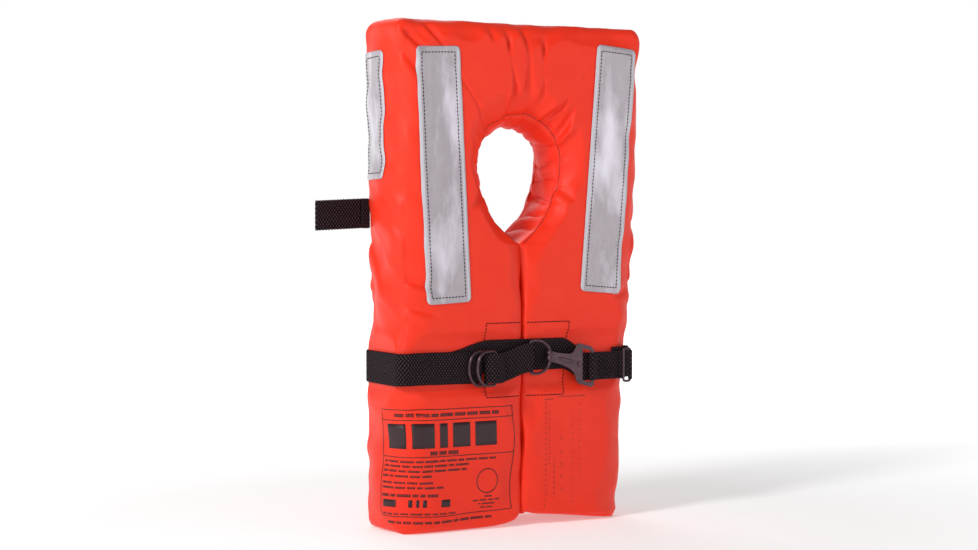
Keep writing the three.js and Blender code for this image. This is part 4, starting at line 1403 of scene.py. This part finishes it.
def make_metal():
    surfaces["metal"] = metal_material()
    make_ring("d_ring_inner", "d_ring_inner", 0.44)
    make_ring("d_ring_outer", "d_ring_outer", 0.44)
    make_ring("hook_ring", "hook_ring", 0.29, side=1)
    make_slide()

    low, high = box_mm("snap_hook_body")
    ring_low, ring_high = box_mm("hook_ring")
    band_low, band_high = box_mm("hook_strap")
    nose_x = low[0] + NOSE_RADIUS + HOOK_THICKNESS / 2
    nose_y = (ring_low[1] + ring_high[1]) / 2
    nose_z = (ring_low[2] + ring_high[2]) / 2
    band_z = (band_low[2] + band_high[2]) / 2
    slope = (band_z - nose_z) / (high[0] - EYE_BAR - nose_x)
    at_slope = lambda x: nose_z + slope * (x - nose_x)
    lobes = []
    for offset in (-LOBE["offset"], LOBE["offset"]):
        curl = np.array([[nose_x + 7, nose_y - NOSE_RADIUS], *bend(nose_x, nose_y, NOSE_RADIUS, 270, 90, 20)])
        path = np.column_stack([curl, at_slope(curl[:, 0]) + offset])
        taper = np.r_[0.35, 0.8, np.ones(len(path) - 4), 0.8, 0.5]
        lobes.append(sweep(path, (0, 0, 1), (LOBE["thick"], LOBE["wide"]), scale=taper))
    spine_x = np.linspace(nose_x + 5, nose_x + 27, 24)
    spine = np.column_stack([spine_x, np.full(24, low[1] + 0.35), at_slope(spine_x)])
    swell = np.sqrt(np.clip(1 - np.linspace(-1, 1, 24) ** 4, 0.02, 1))
    ridge = sweep(spine, (0, 1, 0), (2.1, 1.1), scale=swell)
    polished("snap_hook_body", "hook_plate", "snap_hook", [*lobes, ridge])
    polished("snap_hook_gate", "hook_gate", "gate")
    polished("gate_rivet", "hook_rivet", "snap_hook")


# ---------- seams, stitched box and printed marks ----------

BOX = {"left": -46, "right_top": 54, "right_bottom": 47, "low": 133, "high": 208}
PRINT_LIFT = 0.12
PRINT_THICKNESS = 0.1


def on_front(skin, corners, spacing=2.0, lift=0.3):
    """A path on the front panel through corners given as (x, z)."""
    corners = np.array(corners, float)
    length = np.linalg.norm(np.diff(corners, axis=0), axis=1).sum()
    path = []
    for x, z in resample(corners, max(2, round(length / spacing))):
        place, _ = skin.hit((x, -HALF_DEPTH - 30, z), (0, 1, 0))
        if place is not None:
            path.append(place + np.array([0, -lift, 0]))
    return np.array(path)


def make_seams(cover, skin):
    thread = surfaces["thread"]
    low, high = BOX["low"], BOX["high"]
    paths = [
        on_front(skin, [(-4, high), (BOX["left"], high), (BOX["left"], low), (-4, low)]),
        on_front(skin, [(4, high), (BOX["right_top"], high), (BOX["right_bottom"], low), (4, low)]),
    ]
    box = stitch_line("stitched_box", paths, stitch=3.2, gap=0.4, width=1.15, height=0.5)
    box.data.materials.append(thread)
    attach(box, "vest")

    rim_rows = np.where(cover.inner[:, 1] > HOLE_POINT_Z + 1)[0]
    loops = cover.points[: cover.loop_count].reshape(cover.nu, cover.ns, 3)
    shapes = []
    for column in (0, 2 * cover.nv + cover.ng):
        path = loops[rim_rows, column]
        for _ in range(2):
            path[1:-1] = (path[:-2] + 2 * path[1:-1] + path[2:]) / 4
        path = path + np.array([0, -0.1 if column == 0 else 0.1, 0])
        shapes.append(sweep(path, (0, 1, 0), (0.4, 0.4), sides=6))
    # A thin cord along the real rim seam; its dark red is painted shade of the seam line.
    n = Nodes("seam_shade_cord")
    n.set(Base_Color=n.mix(n.noise(300), srgb(96, 20, 16), srgb(140, 34, 24)), Roughness=0.7)
    seam = mesh_object("neck_seam_shade_cord", *join_shapes(shapes))
    seam.data.materials.append(n.material)
    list(fold_span())
    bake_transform(seam)


def bar(skin, run0, run1, z0, z1):
    """A small printed bar on the lower left panel, between two runs from the slit and two heights."""
    columns = max(2, math.ceil(abs(run1 - run0) / 2.5) + 1)
    rows = max(2, math.ceil(abs(z1 - z0) / 6) + 1)
    grid = np.array([
        [skin.wrapped(run, z) for run in np.linspace(run1, run0, columns)] for z in np.linspace(z0, z1, rows)
    ])
    return slab_shape(grid)


def slab_shape(grid):
    points, faces = closed_sheet(grid, PRINT_LIFT, PRINT_THICKNESS)
    return points, [tuple(face) for face in faces]


# The label: (first run, last run) from the slit round the left edge, and rows as (z, height, first, last).
LABEL = {"right": 12, "left": 166, "low": 18, "high": 124, "strip": 113.5, "divide": 77}
BOLD_BLOCKS = [(33, 58), (64, 84), (90, 99), (105, 129), (135, 157)]
SMALL_ROWS = [
    (118.5, 3.4, 30, 152), (80.5, 3.6, 78, 114), (72.6, 2.0, 34, 164), (68.0, 2.0, 66, 164),
    (63.2, 2.0, 68, 164), (58.2, 2.0, 108, 164), (51.7, 2.0, 106, 164), (46.8, 2.0, 94, 164),
    (39.0, 2.8, 100, 164), (20.6, 1.6, 80, 164), (12.0, 2.4, 36, 158),
    (34.5, 1.6, 38, 50), (30.6, 1.6, 28, 60), (26.8, 1.6, 34, 54), (22.9, 1.6, 36, 52),
]
LARGE_BLOCKS = [(86, 96, 31), (112, 116, 31), (120, 123, 31), (127, 131, 31), (144, 162, 31)]
SEAL = {"run": 43, "z": 50, "radius": 12.5}


def dashes(rng, first, last):
    """Runs of short equal blocks in groups, between two runs."""
    place = first
    while place < last - 3:
        for _ in range(int(rng.integers(3, 8))):
            size = float(rng.uniform(1.2, 1.9))
            if place + size > last:
                return
            yield place, place + size
            place += size + 0.55
        place += 1.8


def make_print(skin):
    rng = np.random.default_rng(21)
    shapes = []
    right, left = LABEL["right"], LABEL["left"]
    for z in (LABEL["low"], LABEL["high"], LABEL["strip"], LABEL["divide"]):
        shapes.append(bar(skin, right, left, z - 0.35, z + 0.35))
    for run in (right, left):
        shapes.append(bar(skin, run - 0.4, run + 0.4, LABEL["low"], LABEL["high"]))
    for first, last in BOLD_BLOCKS:
        shapes.append(bar(skin, first, last, 85.5, 110))
    for first, last, z in LARGE_BLOCKS:
        shapes.append(bar(skin, first, last, z - 3.6, z + 3.6))
    for z, height, first, last in SMALL_ROWS:
        for a, b in dashes(rng, first, last):
            shapes.append(bar(skin, a, b, z - height / 2, z + height / 2))
    turn = np.linspace(0, 2 * math.pi, 61)
    ring = np.array([
        [skin.wrapped(SEAL["run"] - r * math.cos(t), SEAL["z"] + r * math.sin(t)) for t in turn[::-1]]
        for r in (SEAL["radius"] - 0.9, SEAL["radius"])
    ])
    shapes.append(slab_shape(ring))
    add_print("printed_label", shapes, srgb(50, 14, 20), srgb(30, 10, 18))

    marks = []
    for x, low, high, size, gap in (
        (25, 18, 126, 2.2, 3.0), (29, 62, 118, 1.4, 1.6), (35, 30, 64, 3.0, 2.6), (44, 34, 96, 3.0, 11.0),
        (58, 20, 118, 1.2, 5.0), (66, 40, 124, 1.2, 4.5),
    ):
        z = low
        while z < high:
            marks.append(front_bar(skin, x, x + 0.9, z, min(z + size, high)))
            z += size + gap * float(rng.uniform(0.8, 1.3))
    for x0, x1, z in ((24, 34, 128), (40, 74, 130)):
        marks.append(front_bar(skin, x0, x1, z, z + 0.8))
    add_print("faint_marks", marks, srgb(150, 26, 18), srgb(188, 40, 24))


def front_bar(skin, x0, x1, z0, z1):
    grid = np.array([
        [skin.hit((x, -HALF_DEPTH - 30, z), (0, 1, 0))[0] for x in (x0, x1)] for z in np.linspace(z0, z1, 3)
    ])
    return slab_shape(grid)


def add_print(name, shapes, dark, light):
    piece = mesh_object(name, *join_shapes(shapes))
    n = Nodes(f"{name}_ink")
    n.set(Base_Color=n.mix(n.noise(240, 4, 0.7), dark, light), Roughness=0.5)
    piece.data.materials.append(n.material)
    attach(piece, "vest")


surfaces = {}
make_camera()
make_stage()
cover = make_cover()
skin = Skin(cover)
make_foam()
make_patches()
make_tapes(skin)
make_webbing()
make_metal()
make_seams(cover, skin)
make_print(skin)
